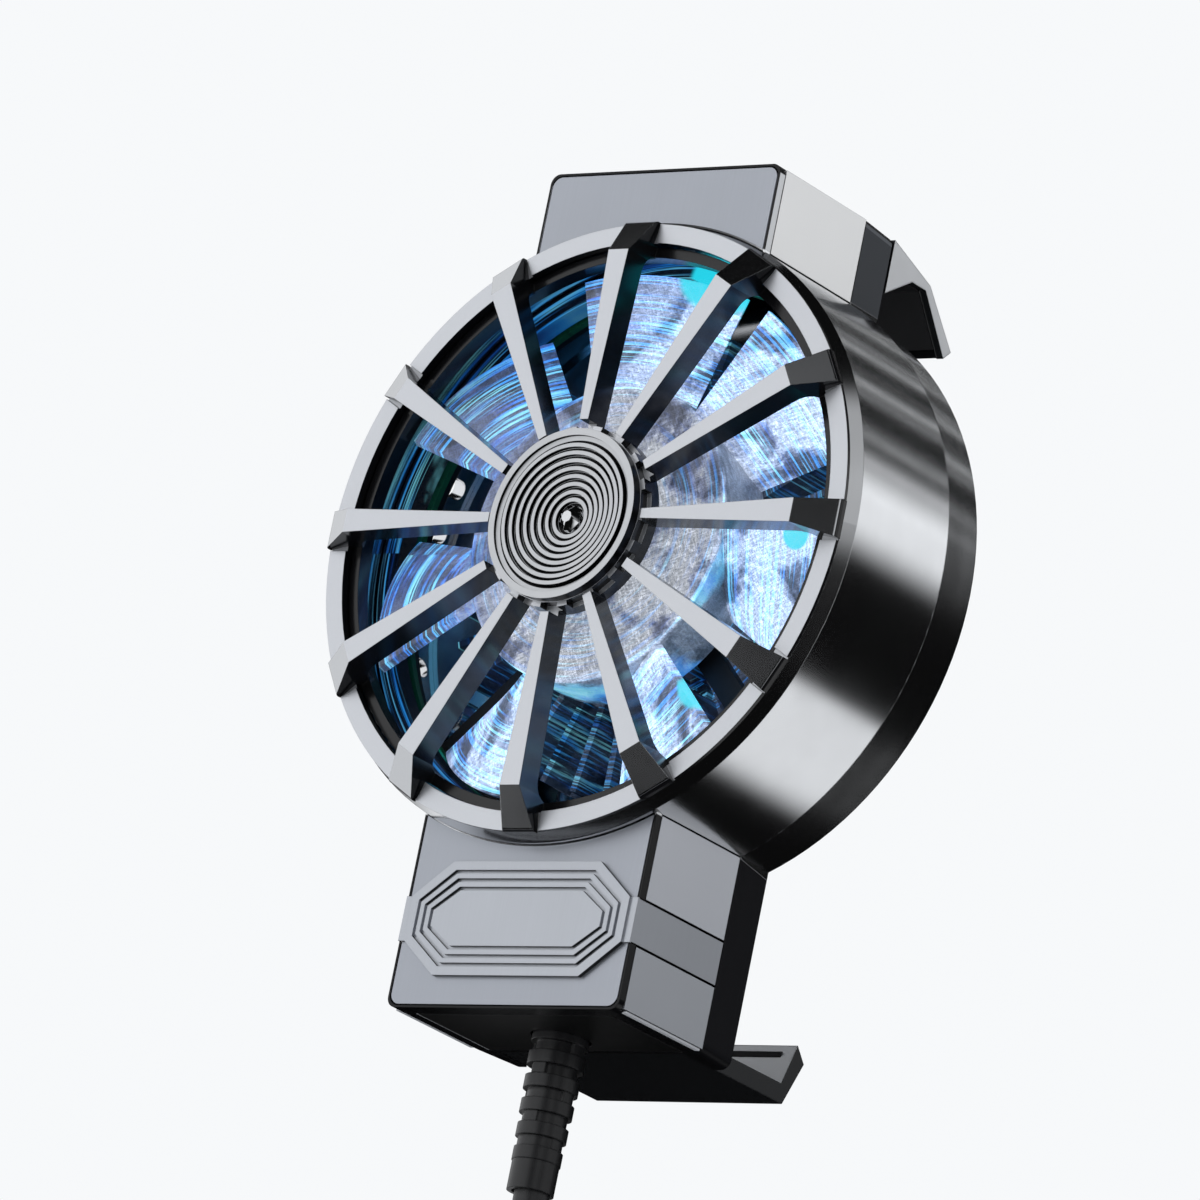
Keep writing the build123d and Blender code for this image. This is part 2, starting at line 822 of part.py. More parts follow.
# Motor mount: ring, struts, hub and the tube that holds the bush
tube_radius = bush_radius + tube_wall
guide_bore = tip_radius + tip_gap
with BuildPart() as motor_mount:
    with BuildSketch(facing(mount_rear_y)):
        Circle(drum_bore)
        Circle(drum_bore - mount_ring, mode=Mode.SUBTRACT)
        Circle(mount_hub)
        with PolarLocations(drum_bore / 2, strut_count, start_angle=180 / strut_count):
            Rectangle(drum_bore - mount_ring / 2, strut_width)
    extrude(amount=mount_thick)
    with BuildSketch(facing(mount_y)):
        Circle(tube_radius)
    extrude(amount=mount_y - bush_y)
    with BuildSketch(facing(mount_y)):
        Circle(bush_radius)
    extrude(amount=mount_y - bush_y, mode=Mode.SUBTRACT)
save(motor_mount.part, "motor_mount")

with BuildPart() as motor_board:
    with BuildSketch(facing(mount_y)):
        Circle(board_radius)
        Circle(tube_radius + fit_gap / 2, mode=Mode.SUBTRACT)
    extrude(amount=board_thick)
save(motor_board.part, "motor_board")

# Stator: laminated core with four poles, and a winding round each arm
core_bore = tube_radius + fit_gap / 4
core_radius = cup_radius - magnet_thick - air_gap
stator_rear_y = board_y - coil_wall - fit_gap
arm_in = core_bore + core_hub
arm_out = core_radius - pole_shoe
with BuildPart() as stator_core:
    with BuildSketch(facing(stator_rear_y)):
        Circle(core_radius)
        Circle(arm_out, mode=Mode.SUBTRACT)
        with PolarLocations(core_radius, pole_count, start_angle=180 / pole_count):
            Rectangle(2 * core_radius / 2, pole_gap, mode=Mode.SUBTRACT)
        with PolarLocations((arm_in + arm_out) / 2, pole_count):
            Rectangle(arm_out - arm_in + pole_shoe, pole_arm)
        Circle(arm_in)
        Circle(core_bore, mode=Mode.SUBTRACT)
    extrude(amount=stator_height)
save(stator_core.part, "stator_core")

coil_length = arm_out - arm_in - 2 * coil_end_gap
with BuildPart() as stator_windings:
    with BuildSketch(facing(stator_rear_y + coil_wall)):
        with PolarLocations((arm_in + arm_out) / 2, pole_count):
            Rectangle(coil_length, pole_arm + 2 * coil_wall)
    extrude(amount=stator_height + 2 * coil_wall)
    fillet(stator_windings.edges().filter_by(lambda e: e.length > stator_height), coil_wall / 2)
    with BuildSketch(facing(stator_rear_y + fit_gap / 2)):
        with PolarLocations((arm_in + arm_out) / 2, pole_count):
            Rectangle(coil_length + 2 * overrun, pole_arm + fit_gap)
    extrude(amount=stator_height + fit_gap, mode=Mode.SUBTRACT)
save(stator_windings.part, "stator_windings")

# Lamp board, lamps and the light guide in front of them
with BuildPart() as lamp_ring:
    with BuildSketch(facing(mount_y)):
        Circle(drum_bore - fit_gap)
        Circle(guide_bore, mode=Mode.SUBTRACT)
    extrude(amount=lamp_board)
save(lamp_ring.part, "lamp_ring")

lamp_y = mount_y - lamp_board
lamp_orbit = (drum_bore + guide_bore) / 2
with BuildPart() as lamps:
    with BuildSketch(facing(lamp_y)):
        with PolarLocations(lamp_orbit, lamp_count):
            Rectangle(lamp_size, lamp_size)
    extrude(amount=lamp_height)
save(lamps.part, "lamps")

guide_y = lamp_y - lamp_height
with BuildPart() as light_guide:
    with BuildSketch(facing(guide_y)):
        Circle(drum_bore - fit_gap)
        Circle(guide_bore, mode=Mode.SUBTRACT)
    extrude(amount=guide_height)
save(light_guide.part, "light_guide")

# Cold plate, contact pad, thermoelectric module and heat sink
module_side = 2 * (jaw_neck_half - jaw_leg_width - module_leg_gap)
clamp_x = module_side / 3
clamp_z = module_side / 2 + clamp_boss + clamp_beside_module
clamp_places = [(x * clamp_x, z * clamp_z) for x in (-1, 1) for z in (-1, 1)]
plate_out_y = -pad_thick
with BuildPart() as cold_plate:
    with BuildSketch(facing(plate_out_y)):
        Circle(cold_radius)
    extrude(amount=plate_out_y - flange_y)
    with BuildSketch(facing(wall_in_y)):
        Circle(cold_radius + cold_flange_width)
    extrude(amount=cold_flange)
    with BuildSketch(facing(flange_y)):
        with Locations(*clamp_places):
            Circle(clamp_boss)
    extrude(amount=module_thick - fit_gap)
    with BuildSketch(facing(flange_y)):
        with Locations(*clamp_places):
            Circle(clamp_screw + fit_gap / 4)
    extrude(amount=module_thick, mode=Mode.SUBTRACT)
save(cold_plate.part, "cold_plate")

with BuildPart() as contact_pad:
    with BuildSketch(facing(0)):
        Circle(cold_radius - pad_edge)
    extrude(amount=pad_thick)
save(contact_pad.part, "contact_pad")

pellet_pitch = (module_side - pellet) / pellet_rows
with BuildPart() as cold_module:
    with BuildSketch(facing(flange_y)):
        Rectangle(module_side, module_side)
    extrude(amount=module_skin)
    with BuildSketch(facing(flange_y - module_skin)):
        with GridLocations(pellet_pitch, pellet_pitch, pellet_rows, pellet_rows):
            Rectangle(pellet, pellet)
    extrude(amount=module_thick - 2 * module_skin)
    with BuildSketch(facing(module_front_y + module_skin)):
        Rectangle(module_side, module_side)
    extrude(amount=module_skin)
save(cold_module.part, "cold_module")

fin_inner = sink_radius - fin_length
with BuildPart() as heat_sink:
    with BuildSketch(facing(module_front_y)):
        Circle(sink_radius)
    extrude(amount=sink_base)
    with BuildSketch(facing(sink_y)):
        with PolarLocations((fin_inner + sink_radius) / 2, fin_count):
            Rectangle(sink_radius - fin_inner - fit_gap, fin_thick)
        with Locations(*clamp_places):
            Circle(clamp_head + 4 * fit_gap, mode=Mode.SUBTRACT)
    extrude(amount=fin_height)
    with BuildSketch(facing(module_front_y)):
        with Locations(*clamp_places):
            Circle(clamp_screw + fit_gap)
    extrude(amount=sink_base, mode=Mode.SUBTRACT)
save(heat_sink.part, "heat_sink")

with BuildPart() as clamp_screws:
    with BuildSketch(facing(sink_y)):
        with Locations(*clamp_places):
            Circle(clamp_head)
    extrude(amount=clamp_head_height)
    with BuildSketch(facing(sink_y)):
        with Locations(*clamp_places):
            Circle(clamp_screw)
    extrude(amount=-(sink_base + module_thick - 2 * fit_gap))
    with BuildSketch(facing(sink_y - clamp_head_height)):
        with Locations(*clamp_places):
            Rectangle(clamp_head, clamp_screw / 2)
            Rectangle(clamp_screw / 2, clamp_head)
    extrude(amount=-clamp_head_height / 2, mode=Mode.SUBTRACT)
save(clamp_screws.part, "clamp_screws")

with BuildPart() as housing_screws:
    with BuildSketch(facing(rear_y)):
        with Locations(*screw_places):
            Circle(housing_head)
    extrude(amount=housing_head_height)
    with BuildSketch(facing(rear_y)):
        with Locations(*screw_places):
            Circle(housing_screw)
    extrude(amount=housing_screw_length - fit_gap)
    with BuildSketch(facing(rear_y + overrun)):
        with Locations(*screw_places):
            Rectangle(housing_head, housing_screw / 2)
            Rectangle(housing_screw / 2, housing_head)
    extrude(amount=overrun + housing_head_height / 2, mode=Mode.SUBTRACT)
save(housing_screws.part, "housing_screws")

# Upper jaw: hook, neck and two legs that slide inside the rear housing
jaw_y = rear_y + jaw_rear_gap
jaw_top = block_top - jaw_top_drop
groove_top = block_top - groove_peak_drop
groove_root = block_top - groove_root_drop
hook_points = [
    (jaw_y, jaw_top),
    (jaw_slope_reach, jaw_top - jaw_slope_drop),
    (jaw_lip_reach, jaw_top - jaw_lip_drop),
    (jaw_lip_reach - jaw_lip_thick, jaw_top - jaw_lip_drop - jaw_lip_thick),
    (groove_end, groove_top),
    (groove_start, groove_top),
    (jaw_y, groove_root),
]
with BuildPart() as upper_jaw:
    with BuildSketch(Plane.YZ):
        with BuildLine():
            Polyline(*hook_points, close=True)
        make_face()
    extrude(amount=jaw_half_width, both=True)
    # Pocket for the rubber lining, between two cheeks
    with BuildSketch(Plane.YZ):
        with BuildLine():
            Polyline(
                (jaw_y - overrun, groove_root - overrun),
                (jaw_y + jaw_pad, groove_root + jaw_pad),
                (groove_start, groove_top + jaw_pad),
                (groove_end + jaw_pad / 2, groove_top + jaw_pad / 2),
                (jaw_lip_reach - jaw_lip_thick, jaw_top - jaw_lip_drop + jaw_lip_thick / 4),
                (jaw_lip_reach, jaw_top - 2 * jaw_lip_drop),
                close=True,
            )
        make_face()
    extrude(amount=jaw_half_width - jaw_cheek, both=True, mode=Mode.SUBTRACT)
    # Neck and legs
    with BuildSketch(Plane.XY.offset(jaw_top - jaw_neck)):
        with Locations((0, (jaw_y + jaw_pad + leg_centre_y - jaw_leg_thick / 2) / 2)):
            Rectangle(
                2 * jaw_neck_half, jaw_y + jaw_pad - leg_centre_y + jaw_leg_thick / 2
            )
    extrude(amount=jaw_neck)
    with BuildSketch(Plane.XY.offset(jaw_leg_end)):
        for side in (-1, 1):
            with Locations((side * leg_x, leg_centre_y)):
                Rectangle(jaw_leg_width, jaw_leg_thick)
    extrude(amount=jaw_top - jaw_leg_end)
save(upper_jaw.part, "upper_jaw")

with BuildPart() as upper_jaw_pad:
    with BuildSketch(Plane.YZ):
        with BuildLine():
            Polyline(
                (jaw_y + fit_gap, groove_root + fit_gap),
                (groove_start, groove_top),
                (groove_end, groove_top),
                (
                    jaw_lip_reach - jaw_lip_thick - jaw_pad / 2,
                    jaw_top - jaw_lip_drop - jaw_lip_thick / 4,
                ),
                (
                    jaw_lip_reach - jaw_lip_thick - fit_gap,
                    jaw_top - jaw_lip_drop + jaw_lip_thick / 4,
                ),
                (groove_end + jaw_pad / 2 - fit_gap, groove_top + jaw_pad / 2 - fit_gap),
                (groove_start, groove_top + jaw_pad - fit_gap),
                (jaw_y + jaw_pad, groove_root + jaw_pad - fit_gap),
                close=True,
            )
        make_face()
    extrude(amount=jaw_half_width - jaw_cheek - fit_gap, both=True)
save(upper_jaw_pad.part, "upper_jaw_pad")

# Springs that pull the jaw's legs down to the posts
with BuildPart() as jaw_springs:
    with BuildSketch(Plane.XY.offset(spring_low)):
        for side in (-1, 1):
            with Locations((side * leg_x, leg_centre_y)):
                Circle(spring_radius)
                Circle(spring_radius - spring_wire, mode=Mode.SUBTRACT)
    extrude(amount=jaw_leg_end - spring_low)
save(jaw_springs.part, "jaw_springs")

# Lower jaw: arm, leaning lip and the tab that is trapped inside the housing
arm_low = block_bottom + fit_gap
arm_high = arm_low + arm_thick
arm_in_high = arm_high - arm_step
strip_y = arm_reach + lip_lean
with BuildPart() as lower_jaw:
    with BuildSketch(Plane.YZ):
        with BuildLine():
            Polyline(
                (arm_front_y, arm_low),
                (arm_reach + lip_thick / 2, arm_low),
                (arm_reach + lip_lean + lip_thick, arm_high + lip_height - lip_thick),
                (arm_reach + lip_lean, arm_high + lip_height),
                (arm_reach, arm_high),
                (rear_y + fit_gap, arm_high),
                (rear_y + fit_gap, arm_in_high),
                (wall_in_y - fit_gap, arm_in_high),
                (wall_in_y - fit_gap, arm_high + arm_tab),
                (wall_in_y - fit_gap - block_wall, arm_high + arm_tab),
                (wall_in_y - fit_gap - block_wall, arm_in_high),
                (arm_front_y, arm_in_high),
                close=True,
            )
        make_face()
    extrude(amount=lower_half_width, both=True)
    # The strip's groove in the lip
    with BuildSketch(facing(strip_y - 2 * strip_depth)):
        with Locations((0, arm_high + lip_height - strip_drop - strip_height / 2)):
            Rectangle(2 * (lower_half_width - lip_thick), strip_height)
    extrude(amount=-2 * strip_depth, mode=Mode.SUBTRACT)
save(lower_jaw.part, "lower_jaw")

with BuildPart() as lower_jaw_strip:
    with BuildSketch(facing(strip_y)):
        with Locations((0, arm_high + lip_height - strip_drop - strip_height / 2)):
            Rectangle(2 * (lower_half_width - lip_thick), strip_height)
    extrude(amount=strip_depth)
save(lower_jaw_strip.part, "lower_jaw_strip")

# Control board in the lower block
circuit_y = rear_y - circuit_from_rear
circuit_low = bottom_inside + circuit_up
circuit_middle = circuit_low + circuit_height / 2
circuit_width = 2 * (inner_half_width - fit_gap)
with BuildPart() as control_board:
    with BuildSketch(facing(circuit_y)):
        with Locations((0, circuit_middle)):
            Rectangle(circuit_width, circuit_height)
    extrude(amount=circuit_thick)
save(control_board.part, "control_board")

board_front_y = circuit_y - circuit_thick
with BuildPart() as board_components:
    with BuildSketch(facing(board_front_y)):
        with Locations((-circuit_width / 4, circuit_middle)):
            Circle(inductor_radius)
    extrude(amount=inductor_height)
    with BuildSketch(facing(board_front_y)):
        with Locations((circuit_width / 4, circuit_middle)):
            Rectangle(chip_side, chip_side)
        with Locations((0, circuit_middle)):
            Rectangle(chip_side / 2, chip_side)
    extrude(amount=chip_height)
save(board_components.part, "board_components")

# Boot that guards the cord where it leaves the block
boot_pitch = boot_ring + boot_window
boot_first = block_bottom - boot_collar - boot_window
boot_end = boot_first - boot_rings * boot_pitch - boot_sleeve
with BuildPart() as cord_boot:
    with BuildSketch(Plane.XY.offset(bottom_inside)):
        with Locations((0, cord_y)):
            Circle(boot_flange)
    extrude(amount=boot_flange_thick)
    with BuildSketch(Plane.XY.offset(block_bottom - boot_collar)):
        with Locations((0, cord_y)):
            Circle(boot_radius)
    extrude(amount=boot_collar + block_wall)
    for index in range(boot_rings):
        top = boot_first - index * boot_pitch
        share = index / boot_rings
        ring_radius = boot_radius + share * (boot_end_radius - boot_radius)
        with BuildSketch(Plane.XY.offset(top - boot_ring)):
            with Locations((0, cord_y)):
                Circle(ring_radius)
        extrude(amount=boot_ring)
        # Two posts join each ring to the one above, a quarter turn on each time
        with BuildSketch(Plane.XY.offset(top)):
            with Locations((0, cord_y)):
                Circle(ring_radius - fit_gap)
                if index % 2 == 0:
                    Rectangle(2 * boot_radius, boot_post, mode=Mode.INTERSECT)
                else:
                    Rectangle(boot_post, 2 * boot_radius, mode=Mode.INTERSECT)
        extrude(amount=boot_window)
    with BuildSketch(Plane.XY.offset(boot_end)):
        with Locations((0, cord_y)):
            Circle(boot_end_radius)
    extrude(amount=boot_sleeve + boot_window)
    with BuildSketch(Plane.XY.offset(boot_end)):
        with Locations((0, cord_y)):
            Circle(boot_core)
    extrude(amount=bottom_inside - boot_end)
    with BuildSketch(Plane.XY.offset(boot_end - overrun)):
        with Locations((0, cord_y)):
            Circle(cord_radius + fit_gap / 4)
    extrude(amount=bottom_inside - boot_end + 4 * overrun, mode=Mode.SUBTRACT)
save(cord_boot.part, "cord_boot")


def tube_along(wire, start, way, radius):
    """Sweeps a round section along a wire that starts square to its plane."""
    with BuildPart() as tube:
        with BuildSketch(Plane(origin=start, z_dir=way)):
            Circle(radius)
        sweep(path=wire)
    return tube.part


def corner_radii(points):
    """The largest arc that each corner's two runs allow."""
    radii = []
    for before, here, after in zip(points, points[1:], points[2:]):
        run_in = Vector(here) - Vector(before)
        run_out = Vector(after) - Vector(here)
        half_turn = radians(run_in.get_angle(run_out)) / 2
        radii.append(0.45 * min(run_in.length, run_out.length) / tan(half_turn))
    return radii


# The cord's free stretch: it hangs from the boot and bends into the coil's first turn
free_route = [
    (0, cord_y, bottom_inside + boot_flange_thick),
    (0, cord_y, -60.9),
    (2.29, cord_y, -66.8),
    (6.55, cord_y, -71.4),
    (12.2, cord_y, -74.2),
]
free_radii = corner_radii(free_route)
with BuildLine() as free_line:
    FilletPolyline(*free_route, radius=free_radii)
free_wire = free_line.wire()
cord = tube_along(free_wire, free_route[0], (0, 0, -1), cord_radius)
save(cord, "cord")
print("free stretch: radii", [round(r, 1) for r in free_radii])
print("free stretch: length", round(free_wire.length, 1), "volume share",
      round(cord.volume / (pi * cord_radius**2 * free_wire.length), 4))

# The coil: four layers that spiral in, out, in and out again
coil_start = Vector(*free_route[-1])
coil_x = coil_start.X - coil_outer * cos(radians(coil_entry_angle))
coil_z = coil_start.Z - coil_outer * sin(radians(coil_entry_angle))
coil_turn = coil_entry_angle - coil_exit_angle + 360 * round(coil_steps / 4)
step_angle = coil_turn / coil_steps
step_in = coil_pitch * step_angle / 360


def coil_places():
    """The coil's stations: angle, radius and depth at each step."""
    angle, radius, depth = coil_entry_angle, coil_outer, cord_y
    places = [(angle, radius, depth)]
    inwards = True
    for layer in range(4):
        moves = [(0, False)] * coil_flat_steps
        if layer < 3:
            moves += [(coil_layer / 2, False), (coil_layer / 2, True)]
        for climb, turns_back in moves:
            if turns_back:
                inwards = not inwards
            radius += -step_in if inwards else step_in
            angle -= step_angle
            depth += climb
            places.append((angle, radius, depth))
    return places


def coil_point(place):
    angle, radius, depth = place
    return Vector(coil_x + radius * cos(radians(angle)), depth, coil_z + radius * sin(radians(angle)))


def coil_way(angle):
    """Direction of travel, clockwise seen from the front."""
    return Vector(sin(radians(angle)), 0, -cos(radians(angle)))


stations = coil_places()
coil_nodes = [coil_point(place) for place in stations]
coil_ways = [coil_way(stations[0][0])]
for before, after in zip(coil_nodes, coil_nodes[2:]):
    coil_ways.append((after - before).normalized())
coil_ways.append(coil_way(stations[-1][0]))


def biarc_joint(start, start_way, end, end_way):
    """The point and direction where two tangent arcs between two stations meet."""
    chord = end - start
    both = start_way + end_way
    slack = 1 - start_way.dot(end_way)
    reach = (-chord.dot(both) + (chord.dot(both) ** 2 + 2 * slack * chord.dot(chord)) ** 0.5) / (2 * slack)
    early = start + start_way * reach
    late = end - end_way * reach
    return (early + late) * 0.5, (late - early).normalized()


with BuildLine() as coil_line:
    for start, start_way, end, end_way in zip(coil_nodes, coil_ways, coil_nodes[1:], coil_ways[1:]):
        joint, joint_way = biarc_joint(start, start_way, end, end_way)
        TangentArc(start, joint, tangent=start_way)
        TangentArc(joint, end, tangent=joint_way)
coil_wire = coil_line.wire()
cord_coil = tube_along(coil_wire, coil_nodes[0], coil_ways[0], cord_radius)
save(cord_coil, "cord_coil")
print("coil: turns", round(coil_turn / 360, 2), "length", round(coil_wire.length, 1),
      "volume share", round(cord_coil.volume / (pi * cord_radius**2 * coil_wire.length), 4))

# The tail: from the coil's last turn up its back to the plug
tail_start = coil_nodes[-1]
tail_y = tail_start.Y
plug_y = tail_y + cord_radius + plug_depth / 2 + 4 * fit_gap
tail_rise = plug_y - tail_y
tail_route = [
    tail_start,
    tail_start + Vector(-3.5, 0, 3.5),
    tail_start + Vector(-5.9, 0.27 * tail_rise, 7.4),
    tail_start + Vector(-6.9, 0.73 * tail_rise, 11.4),
    tail_start + Vector(-6.9, tail_rise, 16.0),
    tail_start + Vector(-6.9, tail_rise, 21.0),
]
tail_radii = corner_radii(tail_route)
with BuildLine() as tail_line:
    FilletPolyline(*tail_route, radius=tail_radii)
tail_wire = tail_line.wire()
cord_tail = tube_along(tail_wire, tail_route[0], coil_ways[-1], cord_radius)
save(cord_tail, "cord_tail")
print("tail: radii", [round(r, 1) for r in tail_radii], "length", round(tail_wire.length, 1),
      "volume share", round(cord_tail.volume / (pi * cord_radius**2 * tail_wire.length), 4))
print("cord in all", round(free_wire.length + coil_wire.length + tail_wire.length, 1))

# Least gap of the coil to itself and to the free ends, on points along it
samples = [coil_wire.position_at(i / 1600) for i in range(1601)]
spacing = coil_wire.length / 1600
skip = int(4 * coil_outer / spacing / 2)
least = min(
    (samples[i] - samples[j]).length
    for i in range(0, len(samples), 2)
    for j in range(i + skip, len(samples), 2)
)
print("coil: least gap to itself", round(least - 2 * cord_radius, 2))
for name, line in (("free stretch", free_wire), ("tail", tail_wire)):
    others = [line.position_at(i / 60) for i in range(61)]
    near = samples[skip:-skip]
    least = min((a - b).length for a in others for b in near[::3])
    print(name, "least gap to the coil", round(least - 2 * cord_radius, 2))

# Tie round the coil's left side and the tail: it hugs every stretch of cord at its own height
tie_samples = 800
tie_corner = cord_radius + tie_gap
tied = [
    point
    for wire in (coil_wire, tail_wire)
    for point in [wire.position_at(index / tie_samples) for index in range(tie_samples + 1)]
    if abs(point.Z - coil_z) < tie_width and point.X < coil_x
]
tie_outer_x = min(point.X for point in tied) - tie_corner
tie_inner_x = max(point.X for point in tied) + tie_corner
tie_front_y = min(point.Y for point in tied) - tie_corner
tie_rear_y = max(point.Y for point in tied) + tie_corner
with BuildPart() as cord_tie:
    with BuildSketch(Plane.XY.offset(coil_z - tie_width / 2)):
        with Locations(((tie_outer_x + tie_inner_x) / 2, (tie_front_y + tie_rear_y) / 2)):
            RectangleRounded(
                tie_inner_x - tie_outer_x + 2 * tie_thick,
                tie_rear_y - tie_front_y + 2 * tie_thick,
                tie_corner + tie_thick,
            )
            RectangleRounded(
                tie_inner_x - tie_outer_x, tie_rear_y - tie_front_y, tie_corner, mode=Mode.SUBTRACT
            )
    extrude(amount=tie_width)
save(cord_tie.part, "cord_tie")

# Plug: moulded body with its own boot, metal shell and contact block
plug_x = tail_route[-1].X
plug_low = tail_route[-1].Z
body_low = plug_low + plug_boot
body_high = body_low + plug_body
with BuildPart() as plug_grip:
    with BuildSketch(Plane.XY.offset(plug_low)):
        with Locations((plug_x, plug_y)):
            Circle(plug_boot_radius - fit_gap)
    with BuildSketch(Plane.XY.offset(body_low)):
        with Locations((plug_x, plug_y)):
            Circle(plug_boot_radius + fit_gap)
    loft(ruled=True)
    with BuildSketch(Plane.XY.offset(body_low)):
        with Locations((plug_x, plug_y)):
            RectangleRounded(plug_width, plug_depth, plug_round)
    extrude(amount=plug_body)
    chamfer(plug_grip.faces().sort_by(Axis.Z)[-1].edges(), plug_round / 4)
save(plug_grip.part, "plug_grip")

with BuildPart() as plug_shell:
    with BuildSketch(Plane.XY.offset(body_high)):
        with Locations((plug_x, plug_y)):
            Rectangle(shell_width, shell_depth)
            Rectangle(shell_width - 2 * shell_wall, shell_depth - 2 * shell_wall, mode=Mode.SUBTRACT)
    extrude(amount=shell_length)
save(plug_shell.part, "plug_shell")

with BuildPart() as plug_contacts:
    with BuildSketch(Plane.XY.offset(body_high)):
        with Locations((plug_x, plug_y + shell_depth / 2 - shell_wall - insert_depth / 2)):
            Rectangle(shell_width - 2 * shell_wall, insert_depth)
    extrude(amount=shell_length - fit_gap)
save(plug_contacts.part, "plug_contacts")

coil_top = cord_coil.bounding_box().max.Z
print("coil: middle", round(coil_x, 2), round(coil_z, 2), "top", round(coil_top, 1))
print("plug: top", round(body_high + shell_length, 1))
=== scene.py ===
# %% [markdown]
# # A clip-on phone cooling fan
#
# The real object is a round black chrome drum with a silver spoked grille. A lit fan turns behind
# the grille, two jaws clip the drum to a phone, and a USB cord leaves the block below. The shapes
# come from the CAD frame. This notebook gives every piece its finish, makes the cord, and sets the
# camera and the light.

# %% Load the frame
import math

import bpy
from mathutils import Matrix, Vector


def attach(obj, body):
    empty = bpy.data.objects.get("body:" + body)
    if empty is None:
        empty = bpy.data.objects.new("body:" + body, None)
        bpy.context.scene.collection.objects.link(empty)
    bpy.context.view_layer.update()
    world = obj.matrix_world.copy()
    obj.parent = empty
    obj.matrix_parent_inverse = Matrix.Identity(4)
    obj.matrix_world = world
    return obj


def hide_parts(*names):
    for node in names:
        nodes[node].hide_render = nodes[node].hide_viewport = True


MM = 0.001
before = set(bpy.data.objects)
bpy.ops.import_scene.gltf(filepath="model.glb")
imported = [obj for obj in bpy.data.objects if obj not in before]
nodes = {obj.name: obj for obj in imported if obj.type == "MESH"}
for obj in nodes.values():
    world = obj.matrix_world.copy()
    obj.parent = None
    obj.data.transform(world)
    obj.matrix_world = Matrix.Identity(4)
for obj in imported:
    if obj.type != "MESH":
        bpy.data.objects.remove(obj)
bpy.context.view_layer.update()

# %% [markdown]
# ## The camera
#
# The photograph was taken with a long lens from the right, below the object and tilted. A camera
# is easiest to place by its direction: the view line, the picture's right and its up. A distant
# camera with a long lens keeps the drum's rim nearly an ellipse, as in the photograph.

# %% Place the camera
VIEW_YAW = math.radians(39.734)
VIEW_PITCH = math.radians(15.495)
VIEW_ROLL = math.radians(11.471)
VIEW_DISTANCE = 0.8787
VIEW_ACROSS = -0.00215
VIEW_DOWN = 0.0065
VIEW_DEPTH = -0.0202
SENSOR = 36.0
FOCAL_PIXELS = 10792.6
PHOTO_PIXELS = 1200
VIEW_REACH = 50.0

level = math.cos(VIEW_PITCH)
look = Vector((-math.sin(VIEW_YAW) * level, math.cos(VIEW_YAW) * level, math.sin(VIEW_PITCH)))
flat_right = look.cross(Vector((0, 0, 1))).normalized()
flat_up = flat_right.cross(look)
right = flat_right * math.cos(VIEW_ROLL) + flat_up * math.sin(VIEW_ROLL)
up = flat_up * math.cos(VIEW_ROLL) - flat_right * math.sin(VIEW_ROLL)

camera_data = bpy.data.cameras.new("camera")
camera_data.sensor_width = SENSOR
camera_data.lens = SENSOR * FOCAL_PIXELS / PHOTO_PIXELS
camera_data.clip_end = VIEW_REACH
camera = bpy.data.objects.new("camera", camera_data)
bpy.context.scene.collection.objects.link(camera)
place = Vector((0, VIEW_DEPTH, 0)) - look * VIEW_DISTANCE - right * VIEW_ACROSS - up * VIEW_DOWN
camera.matrix_world = Matrix.Translation(place) @ Matrix((right, up, -look)).transposed().to_4x4()
bpy.context.scene.camera = camera
bpy.context.scene.view_settings.view_transform = "Standard"
print("camera at", [round(v, 3) for v in place], "lens", round(camera_data.lens, 1))

# %% [markdown]
# ## Shader maths as plain sums
#
# A finish is a small node tree. Written as nodes it is hard to read, so one class wraps a socket
# and turns `+ - * /` into Math nodes, and another holds a node tree and makes any node.


# %% Sockets and node trees
EDGE_SAMPLES = 4


class Wire:
    """One socket of a node tree, usable in sums."""

    def __init__(self, tree, socket):
        self.tree = tree
        self.socket = socket

    def sum(self, kind, first, second=0.0):
        """A Math node of that kind."""
        return self.tree.node("ShaderNodeMath", {"operation": kind}, {0: first, 1: second})

    def __add__(self, other):
        return self.sum("ADD", self, other)

    def __radd__(self, other):
        return self.sum("ADD", other, self)

    def __sub__(self, other):
        return self.sum("SUBTRACT", self, other)

    def __rsub__(self, other):
        return self.sum("SUBTRACT", other, self)

    def __mul__(self, other):
        return self.sum("MULTIPLY", self, other)

    def __rmul__(self, other):
        return self.sum("MULTIPLY", other, self)

    def __truediv__(self, other):
        return self.sum("DIVIDE", self, other)

    def __neg__(self):
        return 0 - self

    def __pow__(self, other):
        return self.sum("POWER", self, other)

    def fraction(self):
        """What is left past the whole number."""
        return self.sum("FRACT", self)

    def between(self, low, high):
        """0 below low, 1 above high, and smooth from one to the other."""
        settings = {"interpolation_type": "SMOOTHSTEP"}
        return self.tree.node("ShaderNodeMapRange", settings, {0: self, 1: low, 2: high})


